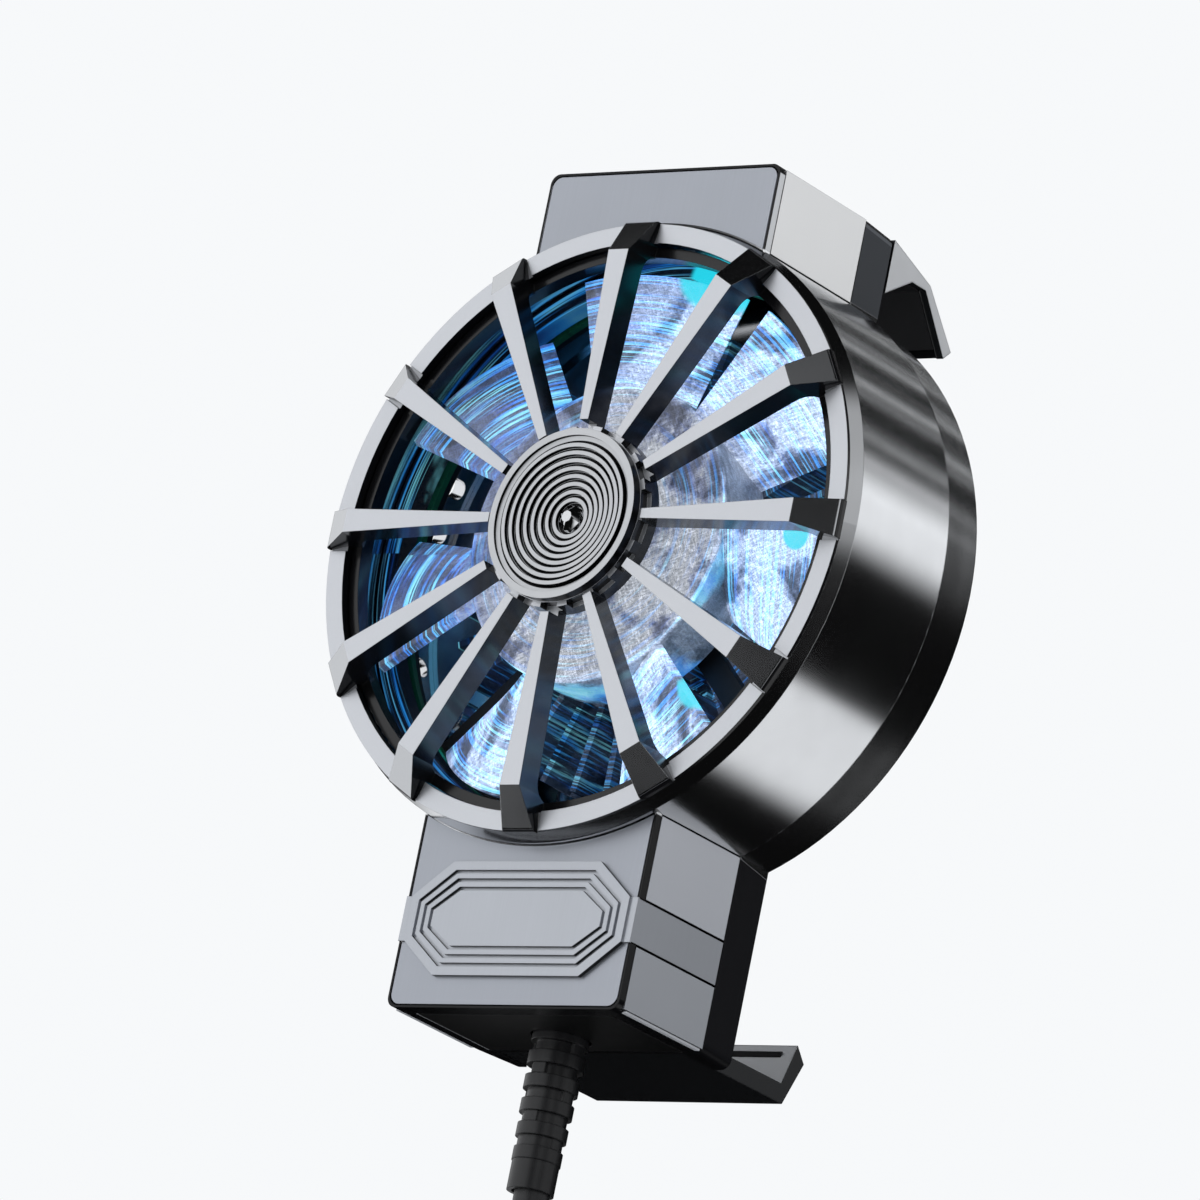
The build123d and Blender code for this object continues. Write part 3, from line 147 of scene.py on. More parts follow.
class Tree:
    """A node tree with one method that makes nodes."""

    def __init__(self, holder):
        holder.use_nodes = True
        self.nodes = holder.node_tree.nodes
        self.links = holder.node_tree.links
        self.nodes.clear()

    def node(self, kind, settings=None, sockets=None, out=0):
        """Makes a node: its settings first, then the values or links of its sockets."""
        node = self.nodes.new(kind)
        for name, value in (settings or {}).items():
            if name == "stops":
                ramp = node.color_ramp
                while len(ramp.elements) < len(value):
                    ramp.elements.new(0.5)
                for element, (place, colour) in zip(ramp.elements, value):
                    element.position = place
                    element.color = (*colour, 1.0)
            else:
                setattr(node, name, value)
        for name, value in (sockets or {}).items():
            socket = node.inputs[name]
            if isinstance(value, Wire):
                self.links.new(value.socket, socket)
            elif socket.type == "RGBA" and len(value) == 3:
                socket.default_value = (*value, 1.0)
            else:
                socket.default_value = value
        return Wire(self, node.outputs[out]) if node.outputs else None

    def ray(self, name):
        """1 for rays of one kind."""
        path = self.node("ShaderNodeLightPath")
        return Wire(self, path.socket.node.outputs[name])

    def mix(self, share, first, second, kind="MIX"):
        """One colour over another; inputs 6 and 7 and output 2 are the colours."""
        settings = {"data_type": "RGBA", "blend_type": kind}
        return self.node("ShaderNodeMix", settings, {0: share, 6: first, 7: second}, out=2)

    def vector(self, x, y, z=0.0):
        """A vector of three numbers."""
        return self.node("ShaderNodeCombineXYZ", {}, {0: x, 1: y, 2: z})

    def noise(self, where, scale, detail=2.0, rough=0.5, warp=0.0):
        """Even noise from 0 to 1."""
        sockets = {"Vector": where, "Scale": scale, "Detail": detail}
        sockets.update({"Roughness": rough, "Distortion": warp})
        return self.node("ShaderNodeTexNoise", {}, sockets)

    def ramp(self, value, stops):
        """A colour ramp over a value."""
        return self.node("ShaderNodeValToRGB", {"stops": stops}, {0: value})


class Finish(Tree):
    """A material."""

    def __init__(self, name):
        self.material = bpy.data.materials.new(name)
        super().__init__(self.material)

    def where(self):
        """The place on the piece, in millimetres."""
        place = self.node("ShaderNodeTexCoord", out=3)
        return self.node("ShaderNodeMapping", {}, {"Vector": place, "Scale": (1 / MM, 1 / MM, 1 / MM)})

    def parts(self, vector):
        """The three numbers of a vector."""
        first = self.node("ShaderNodeSeparateXYZ", {}, {0: vector})
        return tuple(Wire(self, socket) for socket in first.socket.node.outputs)

    def facing(self):
        """The surface's direction on the piece: three numbers."""
        return self.parts(self.node("ShaderNodeTexCoord", out=1))

    def soft_edge(self, radius):
        """Edges that catch the light, as moulded edges do; the radius is in millimetres."""
        return self.node("ShaderNodeBevel", {"samples": EDGE_SAMPLES}, {"Radius": radius * MM})

    def bump(self, height, distance, strength=1.0, normal=None):
        """Fine relief; the distance is in millimetres."""
        sockets = {"Height": height, "Distance": distance * MM, "Strength": strength}
        if normal:
            sockets["Normal"] = normal
        return self.node("ShaderNodeBump", {}, sockets)

    def surface(self, **sockets):
        """The shader itself; a socket's name is written with underscores."""
        named = {name.replace("_", " "): value for name, value in sockets.items()}
        shader = self.node("ShaderNodeBsdfPrincipled", {}, named)
        self.node("ShaderNodeOutputMaterial", {}, {0: shader})


def finish_nodes(finish, *names):
    """Gives CAD nodes a finish."""
    for name in names:
        data = nodes[name].data
        data.materials.clear()
        data.materials.append(finish.material)


print("node helpers ready")

# %% [markdown]
# ## Silver paint on a black moulding
#
# The grille and the bezel are black mouldings whose front faces are painted silver. The sides
# stay black, which is why the spokes look like thin bright plates. The paint is chosen by the
# way that the face points, so one material does both.

# %% Silver and black
SILVER = (0.66, 0.675, 0.71)
PLATE = (0.41, 0.43, 0.475)
BLACK = (0.006, 0.006, 0.007)
PAINT_DEPTH = 18.45
SLOPE_CHROME = (0.55, 0.56, 0.58)
SLOPE_ROUGH = 0.16


def painted(name, colour, rough, grain=0.03):
    """Satin paint on the front faces that stand forward; the slopes are chrome, the sides black."""
    finish = Finish(name)
    place = finish.where()
    front = -finish.facing()[1]
    forward = (-finish.parts(place)[1]).between(PAINT_DEPTH - 0.05, PAINT_DEPTH)
    flat = front.between(0.88, 0.94) * forward
    slope = front.between(0.6, 0.7) * forward
    speckle = finish.noise(place, 9.0, 3.0, 0.6)
    cloud = finish.noise(place, 0.25, 2.0)
    tone = 1 - grain + speckle * grain * 2
    lit = finish.mix(1.0, colour, finish.vector(tone, tone, tone), "MULTIPLY")
    dark = finish.mix(slope, BLACK, SLOPE_CHROME)
    finish.surface(
        Base_Color=finish.mix(flat, dark, lit),
        Metallic=slope - flat * 0.2,
        Roughness=SLOPE_ROUGH + flat * (rough - SLOPE_ROUGH) + cloud * 0.05,
        Normal=finish.soft_edge(0.08),
    )
    return finish


finish_nodes(painted("silver_paint", SILVER, rough=0.34), "spoke_grille", "bezel_ring")
print("grille and bezel painted")

# %% [markdown]
# ## The turned dish
#
# The dish in the middle is bare turned metal. A lathe leaves very fine rings, so the bump follows
# the distance from the axis and the roughness is low along it. Its grooves and their walls are
# painted black, as painted shade and a painted dark reflection. The stud in its middle is cut in
# facets and polished, so it mirrors sharply.


# %% Turned silver
TURNED = (0.62, 0.63, 0.65)
STUD_LOW = (0.72, 0.73, 0.75)
STUD_HIGH = (0.82, 0.83, 0.85)
STUD_RADIUS = 1.15
RING_PITCH = 0.622
RING_GROOVE = 0.27
RIM_START = 6.75


def turned(name, colour, rough, pitch):
    """Bright lands with fine turning marks; the grooves between them are painted black, as shade."""
    finish = Finish(name)
    place = finish.where()
    x, _, z = finish.parts(place)
    front = -finish.facing()[1]
    radius = (x * x + z * z) ** 0.5
    ring = ((radius - STUD_RADIUS) / RING_PITCH).fraction() * RING_PITCH
    land = ring.between(RING_GROOVE - 0.04, RING_GROOVE) + radius.between(RIM_START - 0.1, RIM_START)
    land = land.between(0.2, 0.8) * front.between(0.85, 0.92)
    rings = finish.noise(finish.vector(radius * pitch, 0.0, 0.0), 1.0, 2.0)
    wear = finish.noise(place, 0.8, 3.0)
    metal = finish.mix(wear, colour, tuple(c * 0.9 for c in colour))
    finish.surface(
        # painted shade: grooves and faces that don't point forward are coloured black
        Base_Color=finish.mix(land, BLACK, metal),
        Metallic=0.85,
        Roughness=rough + rings * 0.12,
        Normal=finish.bump(rings, 0.01, 0.3, finish.soft_edge(0.04)),
    )
    return finish


finish_nodes(turned("turned_silver", TURNED, rough=0.24, pitch=14.0), "hub_dish")
stud = Finish("cut_stud")
polish = stud.noise(stud.where(), 3.0, 4.0, 0.6)
stud.surface(
    Base_Color=stud.mix(polish, STUD_LOW, STUD_HIGH),
    Metallic=1.0,
    Roughness=0.03 + polish * 0.06,
    Normal=stud.soft_edge(0.03),
)
finish_nodes(stud, "hub_stud")

# %% [markdown]
# ## Brushed plates
#
# The two blocks carry thin satin plates. Brushing makes long faint lines in one direction, which
# a stretched noise gives. Light and shade are painted into the side panels by height: the top ones
# are painted light, the belt a mid shade, and the lower ones painted darker, the lowest most.


# %% Plates and belt
LOW_PIECE = -33.0
# painted light and shade by height: top side panels light, belt mid, lower and lowest panels darker
TOP_SIDES_PAINTED_LIGHT = (0.9, 0.9, 0.9)
LOWER_SIDES_PAINTED_SHADE = (0.66, 0.68, 0.73)
LOWEST_SIDES_PAINTED_SHADE = (0.52, 0.54, 0.58)
BELT_PAINTED_MID_SHADE = (0.5, 0.52, 0.56)
FACE_LINES = (9.0, 1.0, 0.12)
SIDE_LINES = (1.0, 9.0, 0.12)


def brushed(name, colour, rough, stretch, painted_shade_colour=None):
    """Satin metal plate with faint lines, and black edges; the lower piece may be painted darker, as
    shade.
    """
    finish = Finish(name)
    place = finish.where()
    x, y, z = finish.parts(place)
    across, depth, _ = finish.facing()
    flat = ((-depth).between(0.75, 0.85) + (across * across).between(0.8, 0.9)).between(0.2, 0.8)
    lines = finish.noise(finish.vector(x * stretch[0], y * stretch[1], z * stretch[2]), 1.0, 3.0)
    cloud = finish.noise(place, 0.12, 2.0)
    tone = 0.92 + lines * 0.08 + cloud * 0.08
    if painted_shade_colour:
        # painted shade: below LOW_PIECE the colour turns to the darker one
        colour = finish.mix(z.between(LOW_PIECE - 1, LOW_PIECE + 1), painted_shade_colour, colour)
    metal = finish.mix(1.0, colour, finish.vector(tone, tone, tone), "MULTIPLY")
    finish.surface(
        Base_Color=finish.mix(flat, BLACK, metal),
        Metallic=0.75 * flat,
        Roughness=rough + lines * 0.06,
        Normal=finish.bump(lines, 0.002, 0.2, finish.soft_edge(0.06)),
    )
    return finish


faces = brushed("face_plate", PLATE, rough=0.33, stretch=FACE_LINES)
finish_nodes(faces, "top_face_plate", "lower_face_plate")
top_sides_painted_light = brushed("top_side_plate_painted_light", TOP_SIDES_PAINTED_LIGHT, rough=0.2, stretch=SIDE_LINES)
finish_nodes(top_sides_painted_light, "top_side_panels")
lower_sides_painted_shade = brushed("lower_side_plate_painted_shade", LOWER_SIDES_PAINTED_SHADE, 0.22, SIDE_LINES, painted_shade_colour=LOWEST_SIDES_PAINTED_SHADE)
finish_nodes(lower_sides_painted_shade, "lower_side_panels")
belt = brushed("belt_plate", BELT_PAINTED_MID_SHADE, rough=0.3, stretch=FACE_LINES)
finish_nodes(belt, "plaque_belt")
print("plates brushed")

# %% [markdown]
# ## Black chrome and dark mouldings
#
# The drum is a moulding under a smooth bright metal coat. It looks black because a mirror takes
# its look from what stands round it, and most of that is black. So its own colour is pale, and
# the boards that are set round it further below draw its bands. The two blocks are gloss black,
# with satin sides: the upper sides carry a painted silver highlight, and a thin painted highlight
# runs along the lower edge. On the rear shell the upper facets are painted lighter and the lower
# facets darker, as painted light and shade.


# %% Drum and housings
DRUM_EDGE = 26.85
LOWER_EDGE = -40.3
CHROME = (0.8, 0.81, 0.83)
# painted highlight on the upper sides; rear facets painted lighter at the top and darker below
FLANK_PAINTED_HIGHLIGHT = (0.75, 0.76, 0.78)
REAR_TOP_PAINTED_LIGHT = (0.17, 0.18, 0.195)
REAR_LOW_PAINTED_SHADE = (0.012, 0.012, 0.014)
MATTE = (0.008, 0.008, 0.009)


def moulded(name, colour, rough, grain):
    """Moulded plastic with a slightly uneven gloss."""
    finish = Finish(name)
    place = finish.where()
    haze = finish.noise(place, 0.35, 3.0)
    fine = finish.noise(place, 3.0, 2.0)
    finish.surface(
        Base_Color=finish.mix(haze, colour, tuple(c * 0.85 for c in colour)),
        Roughness=rough + haze * 0.06,
        Normal=finish.bump(fine, 0.01, grain, finish.soft_edge(0.1)),
    )
    return finish


def black_chrome(name, flank_highlight_colour, lit_top_facet, shaded_lower_facet):
    """A mirror on the drum; gloss black blocks, satin sides with a painted highlight, painted facet
    shade.
    """
    finish = Finish(name)
    place = finish.where()
    x, _, z = finish.parts(place)
    across = finish.facing()[0]
    haze = finish.noise(place, 0.3, 2.0)
    block = ((x * x + z * z) ** 0.5).between(DRUM_EDGE, DRUM_EDGE + 0.1)
    upper = z.between(0.0, 1.0)
    # painted highlight: a thin bright line along the bottom edge, and the upper sides painted silver
    painted_edge_highlight = 1 - z.between(LOWER_EDGE - 0.05, LOWER_EDGE)
    painted_highlight_flank = (across * across).between(0.975, 0.99) * (upper + painted_edge_highlight)
    facet = (across * across).between(0.8, 0.9)
    # painted light and shade: upper facets take the lit colour, lower facets the shaded one
    facets = finish.mix(upper, shaded_lower_facet, lit_top_facet)
    side = finish.mix(facet, BLACK, finish.mix(painted_highlight_flank, facets, flank_highlight_colour))
    drum = finish.mix(haze, CHROME, tuple(c * 0.92 for c in CHROME))
    finish.surface(
        Base_Color=finish.mix(block, drum, side),
        Metallic=1 - block * (1 - painted_highlight_flank * 0.7 * upper),
        Roughness=0.12 + haze * 0.04 + block * 0.12,
        Specular_IOR_Level=0.25,
        Normal=finish.soft_edge(0.08),
    )
    return finish


finish_nodes(black_chrome("drum_chrome", FLANK_PAINTED_HIGHLIGHT, BLACK, BLACK), "front_housing")
rear_chrome = black_chrome("rear_chrome", BLACK, REAR_TOP_PAINTED_LIGHT, REAR_LOW_PAINTED_SHADE)
finish_nodes(rear_chrome, "rear_housing")
matte_black = moulded("matte_black", MATTE, rough=0.45, grain=0.4)
finish_nodes(matte_black, "bottom_cover", "motor_mount")
print("housings finished")

# %% [markdown]
# ## Rubber
#
# The jaws' linings, the boot and the contact pad are soft black rubber: rough, with a fine skin
# that a small noise bump gives.


# %% Rubber parts
def rubber(name, colour, rough, skin=6.0, strength=0.35):
    """Soft rubber with a fine skin."""
    finish = Finish(name)
    place = finish.where()
    fine = finish.noise(place, skin, 4.0, 0.65)
    cloud = finish.noise(place, 0.5, 2.0)
    finish.surface(
        Base_Color=finish.mix(cloud, colour, tuple(c * 1.5 + 0.002 for c in colour)),
        Roughness=rough + fine * 0.12,
        Normal=finish.bump(fine, 0.03, strength, finish.soft_edge(0.15)),
    )
    return finish


jaw_rubber = rubber("jaw_rubber", (0.012, 0.012, 0.014), rough=0.42)
finish_nodes(jaw_rubber, "upper_jaw_pad", "lower_jaw_strip", "cord_tie")
boot_rubber = rubber("boot_rubber", (0.009, 0.009, 0.01), rough=0.3, skin=4.0, strength=0.2)
finish_nodes(boot_rubber, "cord_boot")
contact_rubber = rubber("contact_rubber", (0.05, 0.052, 0.056), rough=0.6, skin=5.0, strength=0.5)
finish_nodes(contact_rubber, "contact_pad")
plug_moulding = rubber("plug_moulding", (0.012, 0.012, 0.013), rough=0.38, skin=5.0, strength=0.3)
finish_nodes(plug_moulding, "plug_grip")

# %% [markdown]
# ## Jaws
#
# Each jaw is a dark moulding with bright cheeks. The upper jaw's cheeks face sideways and the
# lower jaw's lip faces the phone, so here too the way that a face points picks its finish.


# %% Jaw finishes
JAW_BLACK = (0.02, 0.021, 0.023)
JAW_SILVER = (0.75, 0.76, 0.78)


def cheeks(facing):
    """1 on faces that point to a side."""
    return (facing[0] * facing[0]).between(0.7, 0.8)


def lip(facing):
    """1 on faces that point to the front."""
    return (-facing[1]).between(0.6, 0.7)


def jaw_finish(name, bright):
    """Dark chrome, with silver faces where bright gives 1."""
    finish = Finish(name)
    share = bright(finish.facing())
    haze = finish.noise(finish.where(), 0.6, 2.0)
    finish.surface(
        Base_Color=finish.mix(share, JAW_BLACK, JAW_SILVER),
        Metallic=0.4 + share * 0.45,
        Roughness=0.2 + share * 0.1 + haze * 0.06,
        Normal=finish.soft_edge(0.15),
    )
    return finish


finish_nodes(jaw_finish("upper_jaw_finish", cheeks), "upper_jaw")
finish_nodes(jaw_finish("lower_jaw_finish", lip), "lower_jaw")
print("rubber and jaws finished")

# %% [markdown]
# ## Painted highlight on the lower edges
#
# The lower block's thin bright edge under its side panels is a painted highlight: a thin bevelled
# bar, pale and lightly silvered, so that it stays bright when there is nothing bright for it to
# mirror. A thin bar is enough, because only its outer and lower faces show.


# %% Edge strips
EDGE_SIZE = (0.5, 10.2, 0.2)
EDGE_PLACE = (11.62, -10.6, -40.42)
EDGE_ROUND = 0.05
BEVEL_STEPS = 2
EDGE_HIGH = (0.8, 0.81, 0.83)
EDGE_LOW = (0.68, 0.69, 0.71)


def painted_highlight_edge(name):
    """Pale trim, bright as a painted highlight."""
    finish = Finish(name)
    shade = finish.noise(finish.where(), 0.4, 2.0)
    finish.surface(
        Base_Color=finish.mix(shade, EDGE_HIGH, EDGE_LOW),
        Metallic=0.2,
        Roughness=0.25 + shade * 0.1,
    )
    return finish


# painted highlight: pale bars along the lower edges
edge_painted_highlight = painted_highlight_edge("edge_painted_highlight")
for side in (-1, 1):
    bpy.ops.object.select_all(action="DESELECT")
    bpy.ops.mesh.primitive_cube_add(size=1.0)
    strip = bpy.context.object
    strip.name = "lower_edge_highlight_right" if side > 0 else "lower_edge_highlight_left"
    shift = Matrix.Translation(Vector((side * EDGE_PLACE[0], EDGE_PLACE[1], EDGE_PLACE[2])) * MM)
    strip.data.transform(shift @ Matrix.Diagonal(Vector((*EDGE_SIZE, 1 / MM)) * MM))
    rounding = strip.modifiers.new("rounding", "BEVEL")
    rounding.width = EDGE_ROUND * MM
    rounding.segments = BEVEL_STEPS
    bpy.ops.object.modifier_apply(modifier="rounding")
    strip.data.materials.append(edge_painted_highlight.material)
    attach(strip, "housing")
print("edge strips made")

# %% [markdown]
# ## The lit fan
#
# Cyan lamps behind a clear ring light the blades. The light on the blades is painted as glow,
# though the rotor is no lamp: soft arcs of blue and cyan, like a turning blade's smear of that
# light, follow the distance from the axis; a painted white sheen lies on the scratches; painted
# shade darkens the left side and the faces turned away; and the lamps' reflections are painted as
# a few round spots of cyan. The heat sink and the light guide carry the same painted glow, dimmer.
# The arcs are noise that is long round the axis and short across it. Under the glow lies scratched
# silver.


# %% Fan finishes
# painted reflections of the lamps: round cyan spots on the rotor
LAMP_REFLECTION_SPOTS = [
    (4.4, 23.4, 3.3),
    (10.0, 21.3, 1.6),
    (20.2, -0.3, 1.4),
    (13.6, -13.0, 2.4),
    (-3.8, -21.5, 1.2),
]
LAMP_REFLECTION_CYAN = (0.02, 0.64, 0.8)
ARC_HUES = [(0.38, (0.01, 0.08, 0.8)), (0.5, (0.02, 0.34, 1.0)), (0.64, (0.25, 0.85, 1.0))]
# painted glow colours: sheen on the cap and blades, blue glow in the painted shade
CAP_SHEEN_GLOW = (0.36, 0.385, 0.43)
BLADE_SHEEN_GLOW = (0.5, 0.64, 0.95)
PAINTED_SHADE_BLUE = (0.06, 0.14, 0.5)
DARK = (0.0, 0.0, 0.0)
BLADE_SILVER = (0.85, 0.88, 0.93)
SINK_GREY = (0.12, 0.14, 0.2)
GUIDE_BLACK = (0.02, 0.03, 0.05)
LAMP_LENS = (0.2, 0.8, 0.9)
LAMP_LOW = (0.04, 0.42, 0.8)
LAMP_HIGH = (0.12, 0.75, 1.0)
LAMP_STRENGTH = 3.0
SPAN_RISE = 3.0
CAP_ARCS = 0.16


def lit_fan(name, metal_colour, low, high, sheen_glow, arcs):
    """Scratched silver under painted light: arcs, sheen, shade and lamp spots; arcs show from low to
    high, in millimetres.
    """
    finish = Finish(name)
    place = finish.where()
    x, y, z = finish.parts(place)
    front = (-finish.facing()[1]).between(0.0, 0.7)
    radius = (x * x + z * z) ** 0.5
    turn = finish.node("ShaderNodeMath", {"operation": "ARCTAN2"}, {0: z, 1: x})
    along = finish.vector(x * 0.9 + z * 0.3, z * 9.0 - x * 3.0, y * 3.0)
    across = finish.vector(x * 6.0 + z * 3.5, z * 0.7 - x * 1.2, y * 3.0)
    long_way = finish.noise(along, 1.0, 6.0, 0.8)
    short_way = finish.noise(across, 1.0, 6.0, 0.8)
    scratches = (long_way.between(0.42, 0.6) + short_way.between(0.45, 0.62)) * 0.5
    grain = finish.noise(place, 3.0, 8.0, 0.85, 0.9)
    patches = finish.noise(place, 0.2, 4.0, 0.6, 0.5).between(0.36, 0.54)
    swirl = finish.noise(finish.vector(radius * 0.7, turn * 1.3, y * 0.1), 1.0, 3.0, 0.6, 0.2)
    threads = finish.noise(finish.vector(radius * 4.5, turn * 0.8, y * 0.12), 1.0, 4.0, 0.65, 0.1)
    within = 1 - radius.between(high - 1.0, high + 0.4)
    span = radius.between(low, low + SPAN_RISE) * within
    low_arc = (1 - span) * radius.between(6.0, 9.0) * within * CAP_ARCS
    # painted shade: the glow is darker towards the left side
    painted_light_side = (x * 0.9 - z * 0.35).between(-17.0, -1.0)
    arc = threads.between(0.5, 0.6) * swirl.between(0.36, 0.52) * (span + low_arc) * (0.4 + front * 0.6)
    hue = finish.ramp(swirl, ARC_HUES)
    # painted sheen: white glow on scratches and patches, darker on the left and on faces turned away
    painted_sheen = (0.12 + patches * 0.85) * (0.3 + scratches * 0.9) * (0.6 + grain.between(0.4, 0.62) * 0.5)
    painted_sheen = painted_sheen * (0.25 + painted_light_side * 0.75) * (0.15 + front * 0.85) * sheen_glow
    cool = finish.mix(span, CAP_SHEEN_GLOW, BLADE_SHEEN_GLOW)
    blue = finish.mix(painted_light_side * (0.3 + patches * 0.7), PAINTED_SHADE_BLUE, cool)
    glow = finish.mix(1.0, blue, finish.vector(painted_sheen, painted_sheen, painted_sheen), "MULTIPLY")
    lit = finish.mix(1.0, glow, finish.mix(arc * arcs, DARK, hue), "ADD")
    # painted lamp reflections: round cyan spots
    for spot_x, spot_z, size in LAMP_REFLECTION_SPOTS:
        away = ((x - spot_x) ** 2 + (z - spot_z) ** 2) ** 0.5
        lit = finish.mix(1 - away.between(size * 0.8, size), lit, LAMP_REFLECTION_CYAN)
    tone = 0.35 + patches * 0.3 + scratches * 0.35 + grain.between(0.35, 0.65) * 0.15
    finish.surface(
        Base_Color=finish.mix(1.0, metal_colour, finish.vector(tone, tone, tone), "MULTIPLY"),
        Metallic=0.6,
        Roughness=0.3 + scratches * 0.25,
        # the rotor glows with painted light, though it is no lamp
        Emission_Color=lit,
        Emission_Strength=1.0,
        Normal=finish.bump(scratches + grain, 0.15, 0.8),
    )
    return finish


blades = lit_fan("fan_painted_glow", BLADE_SILVER, low=11.5, high=23.3, sheen_glow=1.9, arcs=2.4)
finish_nodes(blades, "fan_rotor")
sink = lit_fan("lit_sink", SINK_GREY, low=8.0, high=23.0, sheen_glow=0.15, arcs=0.5)
finish_nodes(sink, "heat_sink", "clamp_screws")
guide = lit_fan("light_guide", GUIDE_BLACK, low=20.0, high=26.0, sheen_glow=0.06, arcs=0.5)
finish_nodes(guide, "light_guide")
lamp = Finish("lamp")
lamp_tone = lamp.noise(lamp.where(), 1.5, 2.0).between(0.2, 0.8)
lamp.surface(
    Base_Color=LAMP_LENS,
    Roughness=0.3,
    Emission_Color=lamp.mix(lamp_tone, LAMP_LOW, LAMP_HIGH),
    Emission_Strength=LAMP_STRENGTH,
)
finish_nodes(lamp, "lamps")
print("fan lit")

# %% [markdown]
# ## Metals and boards inside
#
# What sits inside is seen through gaps and when the object is taken apart: a machined cold plate,
# sintered bush, wound copper, green boards and plain steel screws.


# %% Inner finishes
TRACK_SCALE = 0.8
TRACK_GREEN = (0.01, 0.09, 0.04)
BOARD_GREEN = (0.015, 0.14, 0.06)


def plain_metal(name, colour, rough, lines=2.0):
    """Machined or rolled metal."""
    finish = Finish(name)
    place = finish.where()
    x, y, z = finish.parts(place)
    cut = finish.noise(finish.vector(x * lines, y * lines * 4.0, z * lines), 1.0, 3.0)
    finish.surface(
        Base_Color=finish.mix(cut, colour, tuple(c * 0.8 for c in colour)),
        Metallic=1.0,
        Roughness=rough + cut * 0.1,
        Normal=finish.bump(cut, 0.01, 0.3, finish.soft_edge(0.08)),
    )
    return finish


def circuit(name):
    """Green board with darker tracks."""
    finish = Finish(name)
    x, _, z = finish.parts(finish.where())
    cells = {"Vector": finish.vector(x, z), "Scale": TRACK_SCALE}
    tracks = finish.node("ShaderNodeTexVoronoi", {"distance": "MANHATTAN"}, cells)
    finish.surface(
        Base_Color=finish.mix(tracks.between(0.25, 0.3), TRACK_GREEN, BOARD_GREEN),
        Roughness=0.35,
    )
    return finish


finish_nodes(plain_metal("machined_aluminium", (0.7, 0.71, 0.73), rough=0.28), "cold_plate")
steel = plain_metal("steel", (0.5, 0.5, 0.52), rough=0.3)
finish_nodes(steel, "housing_screws", "rotor_shaft", "stator_core", "jaw_springs")
finish_nodes(plain_metal("plug_steel", (0.62, 0.62, 0.63), rough=0.18), "plug_shell")
finish_nodes(plain_metal("bronze", (0.5, 0.33, 0.15), rough=0.4), "bearing_bush")
finish_nodes(plain_metal("copper", (0.7, 0.3, 0.12), rough=0.25, lines=6.0), "stator_windings")
finish_nodes(plain_metal("magnet", (0.08, 0.08, 0.085), rough=0.5), "magnet_ring")
finish_nodes(circuit("board"), "motor_board", "lamp_ring", "control_board")
chip_black = moulded("chip_black", (0.01, 0.01, 0.01), rough=0.4, grain=0.3)
finish_nodes(chip_black, "board_components", "plug_contacts")
finish_nodes(moulded("ceramic", (0.8, 0.8, 0.78), rough=0.5, grain=0.3), "cold_module")
print("inner pieces finished")

# %% [markdown]
# ## The cord
#
# A metre of limp 3 mm cord hangs from the boot. The photograph shows only the boot, so the rest
# is put away in a neat tied coil below. The line is one smooth spline: the free stretch and the
# tail have listed points, and a loop winds the coil, in and out in four layers.

# %% The cord's route
CORD_RADIUS = 1.5
CORD_Y = -8.65
FREE_ROUTE = [(0, CORD_Y, -38.2), (0, CORD_Y, -60.9), (2.29, CORD_Y, -66.8), (6.55, CORD_Y, -71.4)]
COIL_START = (12.2, -74.2)
COIL_RADIUS = 19.3
COIL_PITCH = 3.5
COIL_LAYER = 3.5
TURN_POINTS = 12
COIL_TURNS = 9.5525
LAYERS = 4
CLIMB_POINTS = 6
ENTRY = math.radians(63.8)
BOW = 1.017
TAIL_RISE = 5.6
CORD_SIDES = 5
CORD_STEPS = 6
CORD_ORDER = 3
TAIL = [(-3.5, 0, 3.5), (-5.9, 0.27, 7.4), (-6.9, 0.73, 11.4), (-6.9, 1, 16.0), (-6.9, 1, 21.0)]


def coil_route():
    """The coil's points: spirals in, climbs a layer, spirals out, and so on.

    BOW widens it a little, because the spline runs just inside its points.
    """
    middle_x = COIL_START[0] - COIL_RADIUS * math.cos(ENTRY)
    middle_z = COIL_START[1] - COIL_RADIUS * math.sin(ENTRY)
    climbs = CLIMB_POINTS * (LAYERS - 1)
    flat = round((COIL_TURNS * TURN_POINTS - climbs) / LAYERS)
    count = flat * LAYERS + climbs
    step = 2 * math.pi * COIL_TURNS / count
    drift = -COIL_PITCH * COIL_TURNS / count
    angle, radius, depth = ENTRY, COIL_RADIUS, CORD_Y
    points = []
    for layer in range(LAYERS):
        climbing = CLIMB_POINTS if layer < LAYERS - 1 else 0
        for number in range(flat + climbing):
            points.append((angle, radius, depth))
            if number == flat + climbing // 2:
                drift = -drift
            angle, radius = angle - step, radius + drift
            if number >= flat:
                depth += COIL_LAYER / CLIMB_POINTS
    points.append((angle, radius, depth))
    return [
        (middle_x + r * BOW * math.cos(a), y, middle_z + r * BOW * math.sin(a)) for a, r, y in points
    ]


coil_points = coil_route()
tail_x, tail_y, tail_z = coil_points[-1]
tail = [(tail_x + x, tail_y + y * TAIL_RISE, tail_z + z) for x, y, z in TAIL]
route = FREE_ROUTE + coil_points + tail
print("cord points", len(route))

